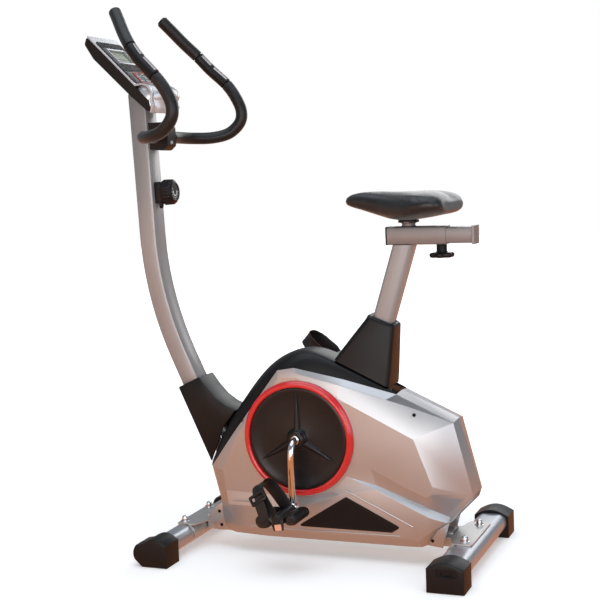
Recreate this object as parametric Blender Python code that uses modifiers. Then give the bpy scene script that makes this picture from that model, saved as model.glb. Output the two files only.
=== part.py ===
"""Upright magnetic exercise bike, built piece by piece from a few driving sizes.

Metres, +Z up. The rider faces -Y, so +X is the rider's left. The origin is on the
floor, at the middle of the bike's length and width.
"""

import math

import bmesh
import bpy
from mathutils import Vector

# ---------------------------------------------------------------- driving sizes
GAP = 0.0003                      # clearance between pieces that touch
WALL = 0.002                      # wall of the steel tubes
SHELL = 0.0025                    # wall of the plastic covers

STAND_WIDTH = 0.530               # over the foot caps
FOOT_LENGTH = 0.070               # of each cap, along the stabiliser
FOOT_SHOULDER = 0.056             # where the cap's arched top starts
FOOT_TOP = 0.071
TUBE_HEIGHT = 0.046               # of both flat-oval stabiliser tubes
TUBE_Z = 0.039                    # height of their centre lines
REAR_Y, REAR_DEPTH = 0.456, 0.088
FRONT_Y, FRONT_DEPTH = -0.274, 0.068

CRANK_Y, CRANK_Z = 0.045, 0.298   # crank axis
CRANK_LENGTH = 0.160
CRANK_ARM_X = 0.137               # plane of each crank arm
PEDAL_X = 0.196                   # middle of each pedal
PEDAL_TILT = math.radians(8)      # heel end up, as the pedal hangs
SPINDLE_END = 0.243               # outer end of each pedal spindle
PULLEY_X = -0.043                 # plane of the belt
PULLEY_RADIUS = 0.112
FLYWHEEL_Y, FLYWHEEL_Z = 0.290, 0.235
FLYWHEEL_RADIUS = 0.105
FLYWHEEL_PULLEY = 0.016

SIDE_X = 0.080                    # flat side of the housing
RING_RADIUS = 0.143

POST_LEAN = math.radians(24)      # of the handlebar post's lower end
POST_LEAN_TOP = math.radians(2)
POST_BEND = 0.850                 # radius of its curve
POST_BEND_Y, POST_BEND_Z = -0.3014, 0.490
POST_FOOT_Z, POST_TOP_Z = 0.330, 1.165
POST_WIDTH, POST_DEPTH = 0.060, 0.048

SEAT_LEAN = math.radians(17.5)    # of the seat tube and post
SEAT_Y, SEAT_Z = 0.251, 0.590     # a point on their centre line
SEAT_TUBE = 0.060
SEAT_POST = 0.050
SLEEVE_Z, SLEEVE_HEIGHT, SLEEVE_WIDTH = 0.787, 0.043, 0.050
SLEEVE_FRONT, SLEEVE_REAR = 0.269, 0.413
SADDLE_STEM_Y = 0.317

BAR_Y, BAR_Z = -0.331, 1.048      # handlebar where its clamp holds it
BAR_RADIUS, GRIP_RADIUS = 0.011, 0.0155
CONSOLE_Y, CONSOLE_Z = -0.4095, 1.2255
CONSOLE_TILT = math.radians(45)
CONSOLE_HALF, CONSOLE_WIDTH = 0.1195, 0.146
KNOB_Z = 0.907

SIDEWAYS = (math.radians(90), 0, math.radians(90))   # outline (a, b) to (y, z)
TO_LEFT = (0, math.radians(90), 0)                   # turned axis to +X
TO_RIGHT = (0, math.radians(-90), 0)                 # turned axis to -X
BACKWARD = (math.radians(-90), 0, 0)                 # turned axis to +Y

for old in list(bpy.data.objects):
    bpy.data.objects.remove(old)
PARTS = bpy.data.collections.new("exercise_bike")
CUTTERS = bpy.data.collections.new("cutters")
for group in (PARTS, CUTTERS):
    bpy.context.scene.collection.children.link(group)


# ---------------------------------------------------------------- materials
def material(name, color, roughness, metallic=0.0):
    made = bpy.data.materials.new(name)
    made.use_nodes = True
    shader = made.node_tree.nodes["Principled BSDF"]
    shader.inputs["Base Color"].default_value = (*color, 1)
    shader.inputs["Roughness"].default_value = roughness
    shader.inputs["Metallic"].default_value = metallic
    return made


SILVER_PAINT = material("silver_powder_coat", (0.52, 0.51, 0.52), 0.42, 0.5)
SILVER_ABS = material("silver_painted_abs", (0.55, 0.54, 0.54), 0.35, 0.3)
BLACK_ABS = material("black_abs", (0.02, 0.02, 0.02), 0.45)
RED_ABS = material("red_abs", (0.55, 0.03, 0.03), 0.3)
CHROME = material("chrome", (0.8, 0.8, 0.8), 0.1, 1.0)
STEEL = material("bright_steel", (0.45, 0.45, 0.46), 0.35, 1.0)
IRON = material("turned_iron", (0.25, 0.25, 0.26), 0.5, 0.9)
BLACK_PAINT = material("black_powder_coat", (0.02, 0.02, 0.02), 0.4)
FOAM = material("black_foam", (0.015, 0.015, 0.016), 0.8)
VINYL = material("black_vinyl", (0.018, 0.018, 0.02), 0.5)
RUBBER = material("black_rubber", (0.02, 0.02, 0.02), 0.7)
LENS = material("display_lens", (0.40, 0.42, 0.32), 0.15)


# ---------------------------------------------------------------- shape tools
def empty(name, location, rotation=(0, 0, 0), parent=None):
    """A joint's axis, which the moving pieces are parented to."""
    made = bpy.data.objects.new(name, None)
    made.location, made.rotation_euler, made.parent = location, rotation, parent
    PARTS.objects.link(made)
    return made


def piece(name, mesh, mat, location=(0, 0, 0), rotation=(0, 0, 0), parent=None):
    made = bpy.data.objects.new(name, mesh)
    made.location, made.rotation_euler, made.parent = location, rotation, parent
    mesh.materials.clear()
    mesh.materials.append(mat)
    mesh.shade_smooth()
    mesh.set_sharp_from_angle(angle=math.radians(35))
    PARTS.objects.link(made)
    return made


def combine(body, mesh, operation, location=(0, 0, 0), rotation=(0, 0, 0)):
    """Cuts a tool shape out of a piece, or joins it on; both share one parent."""
    tool = bpy.data.objects.new(body.name + "_tool", mesh)
    tool.location, tool.rotation_euler, tool.parent = location, rotation, body.parent
    tool.hide_render = True
    tool.display_type = "WIRE"
    CUTTERS.objects.link(tool)
    boolean = body.modifiers.new(operation.lower(), "BOOLEAN")
    boolean.operation, boolean.object = operation, tool
    return tool


def bevel(body, width, segments=2, angle=35):
    made = body.modifiers.new("bevel", "BEVEL")
    made.width, made.segments = width, segments
    made.limit_method, made.angle_limit = "ANGLE", math.radians(angle)


def box(size):
    mesh = bpy.data.meshes.new("box")
    bm = bmesh.new()
    bmesh.ops.create_cube(bm, size=1)
    bmesh.ops.scale(bm, vec=size, verts=bm.verts)
    bm.to_mesh(mesh)
    bm.free()
    return mesh


def rod(radius, length, sides=16):
    mesh = bpy.data.meshes.new("rod")
    bm = bmesh.new()
    bmesh.ops.create_cone(bm, cap_ends=True, segments=sides, radius1=radius, radius2=radius, depth=length)
    bm.to_mesh(mesh)
    bm.free()
    return mesh


def mesh_of_curve(curve):
    """The welded mesh of a curve's evaluated shape."""
    holder = bpy.data.objects.new("curve", curve)
    bpy.context.scene.collection.objects.link(holder)
    graph = bpy.context.evaluated_depsgraph_get()
    mesh = bpy.data.meshes.new_from_object(holder.evaluated_get(graph))
    bpy.data.objects.remove(holder)
    bm = bmesh.new()
    bm.from_mesh(mesh)
    bmesh.ops.remove_doubles(bm, verts=bm.verts, dist=0.00002)
    bmesh.ops.recalc_face_normals(bm, faces=bm.faces)
    bm.to_mesh(mesh)
    bm.free()
    return mesh


def slab(outlines, thickness):
    """A flat outline, with holes if it has more than one loop, given a thickness."""
    curve = bpy.data.curves.new("outline", "CURVE")
    curve.dimensions, curve.fill_mode, curve.extrude = "2D", "BOTH", thickness / 2
    for outline in outlines:
        spline = curve.splines.new("POLY")
        spline.points.add(len(outline) - 1)
        for point, (a, b) in zip(spline.points, outline):
            point.co = (a, b, 0, 1)
        spline.use_cyclic_u = True
    return mesh_of_curve(curve)


def sweep(points, radius, capped=True):
    """A round bar of eight sides along a path."""
    curve = bpy.data.curves.new("path", "CURVE")
    curve.dimensions, curve.bevel_depth, curve.bevel_resolution = "3D", radius, 2
    curve.use_fill_caps = capped
    spline = curve.splines.new("POLY")
    spline.points.add(len(points) - 1)
    for point, place in zip(spline.points, points):
        point.co = (*place, 1)
    return mesh_of_curve(curve)


def rounded(corners, radius, steps=3):
    """An outline whose corners become arcs; radius is one value, or one for each."""
    radii = radius if isinstance(radius, list) else [radius] * len(corners)
    outline = []
    for i, corner in enumerate(corners):
        here = Vector(corner)
        if not radii[i]:
            outline.append(tuple(here))
            continue
        back = (Vector(corners[i - 1]) - here).normalized()
        ahead = (Vector(corners[(i + 1) % len(corners)]) - here).normalized()
        half = back.angle(ahead) / 2
        centre = here + (back + ahead).normalized() * radii[i] / math.sin(half)
        start = here + back * radii[i] / math.tan(half) - centre
        turn = math.copysign(math.pi - 2 * half, ahead.x * back.y - ahead.y * back.x)
        for k in range(steps + 1):
            c, s = math.cos(turn * k / steps), math.sin(turn * k / steps)
            outline.append((centre.x + c * start.x - s * start.y, centre.y + s * start.x + c * start.y))
    return outline


def rectangle(width, height, radius, steps=3):
    a, b = width / 2, height / 2
    return rounded([(-a, -b), (a, -b), (a, b), (-a, b)], radius, steps)


def circle(radius, centre=(0, 0), sides=20):
    return arc(radius, 0, 360 - 360 / sides, centre, sides - 1)


def arc(radius, start, end, centre=(0, 0), steps=8):
    turns = [math.radians(start + (end - start) * k / steps) for k in range(steps + 1)]
    return [(centre[0] + radius * math.cos(t), centre[1] + radius * math.sin(t)) for t in turns]


def smooth_path(points, per=3):
    """Points on a smooth curve through the given ones."""
    points = [Vector(p) for p in points]
    ends = [2 * points[0] - points[1], *points, 2 * points[-1] - points[-2]]
    path = []
    for i in range(1, len(ends) - 2):
        a, b, c, d = ends[i - 1:i + 3]
        for k in range(per):
            t = k / per
            path.append(0.5 * (2 * b + (c - a) * t + (2 * a - 5 * b + 4 * c - d) * t ** 2
                               + (3 * b - a - 3 * c + d) * t ** 3))
    return path + [points[-1]]


def turned(name, profile, mat, location, rotation, parent=None, steps=32, closed=False):
    """A profile of (radius, height) turned about its axis, outer side top to bottom."""
    mesh = bpy.data.meshes.new(name)
    count = len(profile)
    edges = [(i, (i + 1) % count) for i in range(count if closed else count - 1)]
    mesh.from_pydata([(r, 0, z) for r, z in profile], edges, [])
    made = piece(name, mesh, mat, location, rotation, parent)
    screw = made.modifiers.new("turn", "SCREW")
    screw.steps = screw.render_steps = steps
    screw.use_merge_vertices, screw.merge_threshold = True, 0.00001
    return made


def sheet(rows, skip=()):
    """An open surface through rows of points; skip names the cells left open."""
    mesh = bpy.data.meshes.new("sheet")
    width = len(rows[0])
    cells = [(r, i) for r in range(len(rows) - 1) for i in range(width - 1) if (r, i) not in skip]
    faces = [(r * width + i, r * width + i + 1, (r + 1) * width + i + 1, (r + 1) * width + i) for r, i in cells]
    used = sorted({v for face in faces for v in face})
    points = [p for row in rows for p in row]
    mesh.from_pydata([points[v] for v in used], [], [[used.index(v) for v in face] for face in faces])
    return mesh


def loft(rings, capped=True):
    """A skin through closed rings of equal length, capped or open at its ends."""
    mesh = bpy.data.meshes.new("loft")
    count = len(rings[0])
    faces = []
    for r in range(len(rings) - 1):
        for i in range(count):
            j = (i + 1) % count
            faces.append((r * count + i, r * count + j, (r + 1) * count + j, (r + 1) * count + i))
    if capped:
        last = (len(rings) - 1) * count
        faces += [tuple(range(count)), tuple(last + i for i in range(count))]
    mesh.from_pydata([p for ring in rings for p in ring], [], faces)
    bm = bmesh.new()
    bm.from_mesh(mesh)
    bmesh.ops.remove_doubles(bm, verts=bm.verts, dist=0.00002)
    bmesh.ops.recalc_face_normals(bm, faces=bm.faces)
    bm.to_mesh(mesh)
    bm.free()
    return mesh


def thicken(body, thickness, offset=-1):
    made = body.modifiers.new("wall", "SOLIDIFY")
    made.thickness, made.offset = thickness, offset


def oval_tube(width, height, clearance=0.0):
    """The outline of a flat-oval tube, which may be grown by a clearance."""
    return rectangle(width + clearance, height + clearance, (height + clearance) / 2 - 0.002, 5)


# ---------------------------------------------------------------- stand
def stabilizer(name, y, depth, half_length):
    outer = oval_tube(depth, TUBE_HEIGHT)
    inner = oval_tube(depth, TUBE_HEIGHT, -2 * WALL)
    piece(name, slab([outer, inner], 2 * half_length), SILVER_PAINT, (0, y, TUBE_Z), SIDEWAYS)


def foot_outline(y, depth, bulge):
    low, high = y - depth / 2, y + depth / 2
    crown = [(high + (low - high) * t, FOOT_SHOULDER + (FOOT_TOP - FOOT_SHOULDER) * math.sin(math.pi * t))
             for t in (0, 0.15, 0.32, 0.5, 0.68, 0.85, 1)]
    outline = [(low, 0), (high, 0)] + crown
    if bulge:
        outline = outline[:-1] + arc(0.030, 132, 208, (low + 0.007, 0.033), 6)
    return outline


def foot_cap(name, side, y, depth, tube_depth, tube_half, wheel_centre=None):
    middle = side * (STAND_WIDTH - FOOT_LENGTH) / 2
    cap = piece(name, slab([foot_outline(y, depth, wheel_centre)], FOOT_LENGTH), RUBBER, (middle, 0, 0), SIDEWAYS)
    socket = oval_tube(tube_depth, TUBE_HEIGHT, 4 * GAP)
    inner_end = STAND_WIDTH / 2 - FOOT_LENGTH - 0.01
    reach = tube_half + GAP - inner_end
    combine(cap, slab([socket], reach), "DIFFERENCE", (side * (inner_end + reach / 2), y, TUBE_Z), SIDEWAYS)
    if wheel_centre:
        slot_x = side * WHEEL_X
        combine(cap, rod(WHEEL_RADIUS + 0.0015, 0.021, 24), "DIFFERENCE", (slot_x, *wheel_centre), TO_LEFT)
        combine(cap, rod(0.004, 0.0222, 12), "UNION", (slot_x, *wheel_centre), TO_LEFT)


def transport_wheel(name, side, centre):
    axis = empty(name + "_axis", (side * WHEEL_X, *centre))
    r, h = WHEEL_RADIUS, 0.009
    profile = [(0.0045, h), (r - 0.003, h), (r, h - 0.003), (r, 0.003 - h), (r - 0.003, -h), (0.0045, -h)]
    turned(name, profile, RUBBER, (0, 0, 0), TO_LEFT, axis, 24, True)


WHEEL_X, WHEEL_RADIUS = 0.246, 0.027
WHEEL_CENTRE = (FRONT_Y - FRONT_DEPTH / 2 + 0.002, 0.033)
REAR_TUBE, FRONT_TUBE = 0.076, 0.058        # depth of each tube, front to back
REAR_HALF, FRONT_HALF = 0.250, 0.2345       # half length of each tube
stabilizer("rear_stabilizer", REAR_Y, REAR_TUBE, REAR_HALF)
stabilizer("front_stabilizer", FRONT_Y, FRONT_TUBE, FRONT_HALF)
for word, side in (("left", 1), ("right", -1)):
    foot_cap("rear_foot_" + word, side, REAR_Y, REAR_DEPTH, REAR_TUBE, REAR_HALF)
    foot_cap("front_foot_" + word, side, FRONT_Y, FRONT_DEPTH, FRONT_TUBE, FRONT_HALF, WHEEL_CENTRE)
    transport_wheel("transport_wheel_" + word, side, WHEEL_CENTRE)


# ---------------------------------------------------------------- welded frame
BASE_BOTTOM, BASE_TOP = 0.034, 0.074
BASE_FRONT, BASE_REAR = -0.240, 0.4135
PLATE_Z = TUBE_Z + TUBE_HEIGHT / 2 + GAP
PLATE_THICK = 0.004
BRACKET_X = 0.054                            # plane of each flywheel bracket plate
BRAKE_ANGLE = math.radians(110)              # of the brake's pivot, seen from the flywheel
BRAKE_REACH = 0.121
BRAKE_Y = FLYWHEEL_Y + BRAKE_REACH * math.cos(BRAKE_ANGLE)
BRAKE_Z = FLYWHEEL_Z + BRAKE_REACH * math.sin(BRAKE_ANGLE)


def base_frame():
    """The lower tube with both stabiliser brackets, and the flywheel's fork."""
    height = BASE_TOP - BASE_BOTTOM
    tube = [rectangle(0.050, height, 0.006), rectangle(0.050 - 2 * WALL, height - 2 * WALL, 0.004)]
    middle = (BASE_FRONT + BASE_REAR) / 2
    frame = piece("base_frame", slab(tube, BASE_REAR - BASE_FRONT), SILVER_PAINT,
                  (0, middle, (BASE_BOTTOM + BASE_TOP) / 2), BACKWARD)
    rear_plate = rounded([(-0.045, 0.375), (0.045, 0.375), (0.052, 0.417), (0.098, 0.426), (0.098, 0.478),
                          (-0.098, 0.478), (-0.098, 0.426), (-0.052, 0.417)], [0, 0, 0.01, 0.01, 0.006, 0.006, 0.01, 0.01])
    front_plate = rounded([(-0.098, -0.292), (0.098, -0.292), (0.098, -0.245), (0.045, -0.225), (0.045, -0.195),
                           (-0.045, -0.195), (-0.045, -0.225), (-0.098, -0.245)], [0.006, 0.006, 0.01, 0.01, 0, 0, 0.01, 0.01])
    for plate in (rear_plate, front_plate):
        combine(frame, slab([plate], PLATE_THICK), "UNION", (0, 0, PLATE_Z + PLATE_THICK / 2))
    combine(frame, box((2 * BRACKET_X, 0.09, 0.004)), "UNION", (0, 0.295, BASE_TOP + 0.001))
    ear = rounded([(0.252, BASE_TOP), (0.338, BASE_TOP), (0.312, 0.250), (BRAKE_Y + 0.018, BRAKE_Z + 0.012),
                   (BRAKE_Y - 0.018, BRAKE_Z + 0.012), (0.245, 0.240)], [0, 0, 0.02, 0.012, 0.012, 0.02])
    axle_hole = circle(0.0063, (FLYWHEEL_Y, FLYWHEEL_Z), 16)
    for side in (1, -1):
        combine(frame, slab([ear, axle_hole], 0.004), "UNION", (side * BRACKET_X, 0, 0), SIDEWAYS)
    combine(frame, rod(0.004, 2 * BRACKET_X, 12), "UNION", (0, BRAKE_Y, BRAKE_Z), TO_LEFT)


def crank_support():
    """The bottom bracket shell on its leg."""
    ring = [(0.024, 0.034), (0.024, -0.034), (0.020, -0.034), (0.020, 0.034)]
    shell = turned("crank_support", ring, SILVER_PAINT, (0, CRANK_Y, CRANK_Z), TO_LEFT, None, 24, True)
    leg = [(CRANK_Y - 0.018, CRANK_Z - 0.0155), (CRANK_Y - 0.045, BASE_TOP + GAP),
           (CRANK_Y + 0.012, BASE_TOP + GAP), (CRANK_Y + 0.018, CRANK_Z - 0.0155)]
    combine(shell, slab([leg], 0.014), "UNION", (0, 0, 0), SIDEWAYS)


def front_stub():
    """The short upright that the handlebar post slides over."""
    outer, inner = rectangle(0.050, 0.036, 0.006), rectangle(0.045, 0.031, 0.004)
    low, high = BASE_TOP + 0.0085, 0.360
    middle = (low + high) / 2
    y = POST_BEND_Y + (POST_BEND_Z - middle) * math.tan(POST_LEAN)
    piece("front_upright", slab([outer, inner], (high - low) / math.cos(POST_LEAN)), SILVER_PAINT,
          (0, y, middle), (POST_LEAN, 0, 0))


def seat_tube():
    """The leaning tube that guides the seat post."""
    outer = rectangle(SEAT_TUBE, SEAT_TUBE, 0.012)
    inner = rectangle(SEAT_TUBE - 2 * WALL, SEAT_TUBE - 2 * WALL, 0.010)
    low, high = 0.088, 0.560
    middle = (low + high) / 2
    y = SEAT_Y - (SEAT_Z - middle) * math.tan(SEAT_LEAN)
    tube = piece("seat_tube", slab([outer, inner], (high - low) / math.cos(SEAT_LEAN)), SILVER_PAINT,
                 (0, y, middle), (-SEAT_LEAN, 0, 0))
    combine(tube, rod(0.0066, 0.030, 16), "DIFFERENCE", (-0.030, PIN_Y, PIN_Z), TO_LEFT)


PIN_Z = 0.515
PIN_Y = SEAT_Y - (SEAT_Z - PIN_Z) * math.tan(SEAT_LEAN)
base_frame()
crank_support()
front_stub()
seat_tube()


# ---------------------------------------------------------------- handlebar post
def post_centre_line():
    """Straight foot, a bend of one radius, and a nearly upright top."""
    foot = POST_BEND_Z - POST_FOOT_Z
    line = [(POST_BEND_Y + foot * math.tan(POST_LEAN), POST_FOOT_Z, POST_LEAN)]
    steps = 9
    for k in range(steps + 1):
        lean = POST_LEAN + (POST_LEAN_TOP - POST_LEAN) * k / steps
        y = POST_BEND_Y - POST_BEND * (math.cos(lean) - math.cos(POST_LEAN))
        z = POST_BEND_Z + POST_BEND * (math.sin(POST_LEAN) - math.sin(lean))
        line.append((y, z, lean))
    y, z, lean = line[-1]
    line.append((y - (POST_TOP_Z - z) * math.tan(lean), POST_TOP_Z, lean))
    return line


def post_outline(half_depth, extra=0.0):
    line = post_centre_line()
    if extra:
        (y0, z0, lean0), (y1, z1, lean1) = line[0], line[-1]
        line[0] = (y0 + extra * math.sin(lean0), z0 - extra * math.cos(lean0), lean0)
        line[-1] = (y1 - extra * math.sin(lean1), z1 + extra * math.cos(lean1), lean1)
    front = [(y - half_depth * math.cos(lean), z - half_depth * math.sin(lean)) for y, z, lean in line]
    rear = [(y + half_depth * math.cos(lean), z + half_depth * math.sin(lean)) for y, z, lean in line]
    return front + rear[::-1]


def post_rear(z):
    """Where a piece bolted on the post's rear face starts."""
    y, top, lean = post_centre_line()[-1]
    return y + (top - z) * math.tan(lean) + POST_DEPTH / 2 / math.cos(lean) + GAP


def handlebar_post():
    post = piece("handlebar_post", slab([post_outline(POST_DEPTH / 2)], POST_WIDTH), SILVER_PAINT,
                 (0, 0, 0), SIDEWAYS)
    bevel(post, 0.006, 2, 60)
    hollow = slab([post_outline(POST_DEPTH / 2 - WALL, 0.02)], POST_WIDTH - 2 * WALL)
    combine(post, hollow, "DIFFERENCE", (0, 0, 0), SIDEWAYS)


handlebar_post()


# ---------------------------------------------------------------- covers
# Front to rear along the housing's top, then down its rear and back under it:
# each station is (flat side y, z), (edge x, y, z).
STATIONS = [
    ((-0.165, 0.205), (0.066, -0.200, 0.214)),
    ((-0.122, 0.290), (0.074, -0.138, 0.296)),
    ((-0.050, 0.385), (0.074, -0.064, 0.392)),
    ((-0.004, 0.448), (0.074, -0.008, 0.464)),
    ((0.036, 0.455), (0.074, 0.036, 0.471)),
    ((0.140, 0.408), (0.060, 0.160, 0.443)),
    ((0.238, 0.358), (0.045, 0.287, 0.408)),
    ((0.336, 0.307), (0.028, 0.4235, 0.3415)),
    ((0.382, 0.189), (0.030, 0.466, 0.168)),
    ((0.367, 0.150), (0.040, 0.407, 0.095)),
    ((0.360, 0.060), (0.060, 0.392, 0.046)),
    ((-0.140, 0.060), (0.066, -0.150, 0.045)),
    ((-0.170, 0.078), (0.050, -0.208, 0.062)),
    ((-0.160, 0.125), (0.058, -0.182, 0.125)),
]
SEAM_X = 0.0009
SEAM = {6: (0.289, 0.410), 7: (0.4295, 0.3465), 8: (0.478, 0.168), 9: (0.409, 0.094)}


def housing(name, side):
    """One half of the silver housing, open below and where the black cover sits."""
    mesh = bpy.data.meshes.new(name)
    bm = bmesh.new()
    flat = [bm.verts.new((side * SIDE_X, y, z)) for (y, z), _ in STATIONS]
    edge = [bm.verts.new((side * x, y, z)) for _, (x, y, z) in STATIONS]
    seam = {i: bm.verts.new((side * SEAM_X, y, z)) for i, (y, z) in SEAM.items()}
    bm.faces.new(flat)
    for i in range(len(flat)):
        j = (i + 1) % len(flat)
        bm.faces.new((flat[i], flat[j], edge[j], edge[i]))
        if i in seam and j in seam:
            bm.faces.new((edge[i], edge[j], seam[j], seam[i]))
    bmesh.ops.recalc_face_normals(bm, faces=bm.faces)
    outward = max(bm.faces, key=lambda f: f.calc_area()).normal.x * side
    if outward < 0:
        bmesh.ops.reverse_faces(bm, faces=bm.faces)
    bm.to_mesh(mesh)
    bm.free()
    shell = piece(name, mesh, SILVER_ABS)
    thicken(shell, SHELL)
    combine(shell, rod(0.022, 0.02, 24), "DIFFERENCE", (side * SIDE_X, CRANK_Y, CRANK_Z), TO_LEFT)


def top_cover():
    """The black cover that closes the housing's top and runs down its front edge."""
    rise = 0.0012
    brink = [(x, y - rise, z + rise) for _, (x, y, z) in STATIONS[:7]]
    crease = [(0.045, -0.209, 0.221), (0.060, -0.170, 0.303), (0.060, -0.098, 0.398), (0.060, -0.030, 0.474),
              (0.058, 0.060, 0.508), (0.050, 0.128, 0.487), (0.042, 0.274, 0.417)]
    crown = [(0.038, -0.211, 0.221), (0.034, -0.174, 0.305), (0.034, -0.104, 0.403), (0.034, -0.042, 0.484),
             (0.034, 0.050, 0.524), (0.036, 0.125, 0.490), (0.036, 0.274, 0.418)]
    ridge = [(0.0, y, z + 0.001) for x, y, z in crown]
    cover = piece("top_cover", sheet([brink, crease, crown, ridge], {(2, 0), (2, 5)}), BLACK_ABS)
    mirror = cover.modifiers.new("mirror", "MIRROR")
    mirror.merge_threshold = 0.0001
    thicken(cover, SHELL)


def seat_shroud():
    """The black boot from the top cover up to the seat post."""
    bottom = [(0.049, 0.131, 0.4895), (0.045, 0.268, 0.4240)]
    top = [(0.036, 0.214, 0.594), (0.036, 0.282, 0.568)]
    slope = math.tan(SEAT_LEAN)
    half = SEAT_POST / 2 + 0.002
    middle = 0.580
    y = SEAT_Y - (SEAT_Z - middle) * slope
    lip = [(half, y - half * math.cos(SEAT_LEAN), middle + half * math.sin(SEAT_LEAN)),
           (half, y + half * math.cos(SEAT_LEAN), middle - half * math.sin(SEAT_LEAN))]
    rings = []
    for (xf, yf, zf), (xr, yr, zr) in (bottom, top, lip):
        rings.append([(xf, yf, zf), (-xf, yf, zf), (-xr, yr, zr), (xr, yr, zr)])
    shroud = piece("seat_shroud", loft(rings, False), BLACK_ABS)
    thicken(shroud, SHELL)
    combine(shroud, rod(0.009, 0.04, 16), "DIFFERENCE", (-0.045, PIN_Y, PIN_Z), TO_LEFT)


def front_shroud():
    """The black boot around the foot of the handlebar post."""
    curve = [(-0.239, 0.436), (-0.219, 0.408), (-0.196, 0.383), (-0.168, 0.364), (-0.140, 0.353)]
    outline = [(-0.300, 0.408)] + curve + [(-0.176, 0.308), (-0.214, 0.216)]
    boot = piece("front_shroud", slab([outline], 0.086), BLACK_ABS, (0, 0, 0), SIDEWAYS)
    bevel(boot, 0.004, 2, 60)
    inner = [(-0.3075, 0.435)] + [(-0.252, 0.462), (-0.243, 0.435)]
    inner += [(y - 0.0025, z - 0.003) for y, z in curve[1:-1]] + [(-0.130, 0.347), (-0.130, 0.280), (-0.205, 0.180),
                                                               (-0.220, 0.218)]
    combine(boot, slab([inner], 0.080), "DIFFERENCE", (0, 0, 0), SIDEWAYS)


def vent(name, side):
    """The triangular black grille low on each side."""
    triangle = rounded([(0.034, 0.078), (0.282, 0.078), (0.304, 0.092), (0.165, 0.162)], [0.004, 0.006, 0.006, 0.006])
    piece(name, slab([triangle], 0.003), BLACK_ABS, (side * (SIDE_X + GAP + 0.0015), 0, 0), SIDEWAYS)


def trim_ring(name, side):
    """The red ring around the crank disc."""
    r = RING_RADIUS
    profile = [(r - 0.0120, 0.015), (r - 0.0060, 0.0155), (r - 0.0030, 0.012), (r, 0.006), (r, 0.0),
               (r - 0.0155, 0.0), (r - 0.0155, 0.013)]
    turned(name, profile, RED_ABS, (side * (SIDE_X + GAP), CRANK_Y, CRANK_Z),
           TO_LEFT if side > 0 else TO_RIGHT, None, 40, True)


for word, side in (("left", 1), ("right", -1)):
    housing("housing_" + word, side)
    vent("vent_grille_" + word, side)
    trim_ring("trim_ring_" + word, side)
top_cover()
seat_shroud()
front_shroud()


# ---------------------------------------------------------------- crank and drive
CRANK = empty("crank_axis", (0, CRANK_Y, CRANK_Z))


def crank():
    """A one-piece crank: a single bent bar with a boss and spindle at each end."""
    bend = [(0.1370, -0.1500), (0.1370, -0.0400), (0.1345, -0.0220), (0.1260, -0.0085), (0.1120, -0.0005)]
    half = [(x, 0, z) for x, z in bend]
    path = half + [(-x, 0, -z) for x, _, z in reversed(half)]
    bar = piece("crank", sweep(path, 0.0085), CHROME, parent=CRANK)
    combine(bar, rod(0.011, 0.220), "UNION", (0, 0, 0), TO_LEFT)
    for side in (1, -1):
        eye = (side * CRANK_ARM_X, 0, -side * CRANK_LENGTH)
        combine(bar, rod(0.0135, 0.018, 20), "UNION", eye, TO_LEFT)
        spindle_x = (CRANK_ARM_X + SPINDLE_END) / 2
        combine(bar, rod(0.007, SPINDLE_END - CRANK_ARM_X), "UNION", (side * spindle_x, 0, eye[2]), TO_LEFT)


def drive_pulley():
    r = PULLEY_RADIUS
    profile = [(0.0113, 0.007), (0.022, 0.007), (0.022, 0.004), (r - 0.010, 0.004), (r - 0.008, 0.007), (r, 0.007),
               (r, -0.007), (r - 0.008, -0.007), (r - 0.010, -0.003), (0.0113, -0.003)]
    turned("drive_pulley", profile, BLACK_ABS, (PULLEY_X, 0, 0), TO_LEFT, CRANK, 40, True)


def crank_disc(name, side):
    """The black dished disc that turns with the crank, with its domed hub."""
    profile = [(0.0117, 0.024), (0.016, 0.0235), (0.022, 0.019), (0.0245, 0.012), (0.027, 0.0075), (0.055, 0.004),
               (0.100, 0.0045), (0.119, 0.0085), (0.1265, 0.0085), (0.1265, 0.006), (0.118, 0.0055), (0.099, 0.0018),
               (0.055, 0.0012), (0.0117, 0.0012)]
    turned(name, profile, BLACK_ABS, (side * (SIDE_X + 0.0015), 0, 0), TO_LEFT if side > 0 else TO_RIGHT, CRANK,
           32, True)


def bearing(name, side):
    ring = [(0.0197, 0.005), (0.0197, -0.005), (0.0114, -0.005), (0.0114, 0.005)]
    turned(name, ring, STEEL, (side * 0.0285, CRANK_Y, CRANK_Z), TO_LEFT, None, 24, True)


def flywheel():
    """Iron wheel, hub and small belt pulley in one turned shape."""
    axis = empty("flywheel_axis", (0, FLYWHEEL_Y, FLYWHEEL_Z))
    r, p = FLYWHEEL_RADIUS, FLYWHEEL_PULLEY
    profile = [(0.0066, 0.020), (0.016, 0.020), (0.018, 0.004), (r - 0.018, 0.004), (r - 0.016, 0.010), (r, 0.010),
               (r, -0.010), (r - 0.016, -0.010), (r - 0.018, -0.004), (0.018, -0.004), (0.014, -0.034),
               (p + 0.004, -0.035), (p + 0.004, -0.0362), (p, -0.0364), (p, -0.0496), (p + 0.004, -0.0498),
               (p + 0.004, -0.0505), (0.0066, -0.0505)]
    turned("flywheel", profile, IRON, (0, 0, 0), TO_LEFT, axis, 40, True)
    piece("flywheel_axle", rod(0.006, 0.122), STEEL, (0, FLYWHEEL_Y, FLYWHEEL_Z), TO_LEFT)


def belt_loop(clearance):
    """An open belt's outline round both pulleys."""
    big, small = PULLEY_RADIUS + clearance, FLYWHEEL_PULLEY + clearance
    along = Vector((FLYWHEEL_Y - CRANK_Y, FLYWHEEL_Z - CRANK_Z))
    heading = math.degrees(math.atan2(along.y, along.x))
    swing = math.degrees(math.acos((big - small) / along.length))
    large = arc(big, heading + swing, heading + 360 - swing, (CRANK_Y, CRANK_Z), 26)
    return large + arc(small, heading - swing, heading + swing, (FLYWHEEL_Y, FLYWHEEL_Z), 8)


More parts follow.
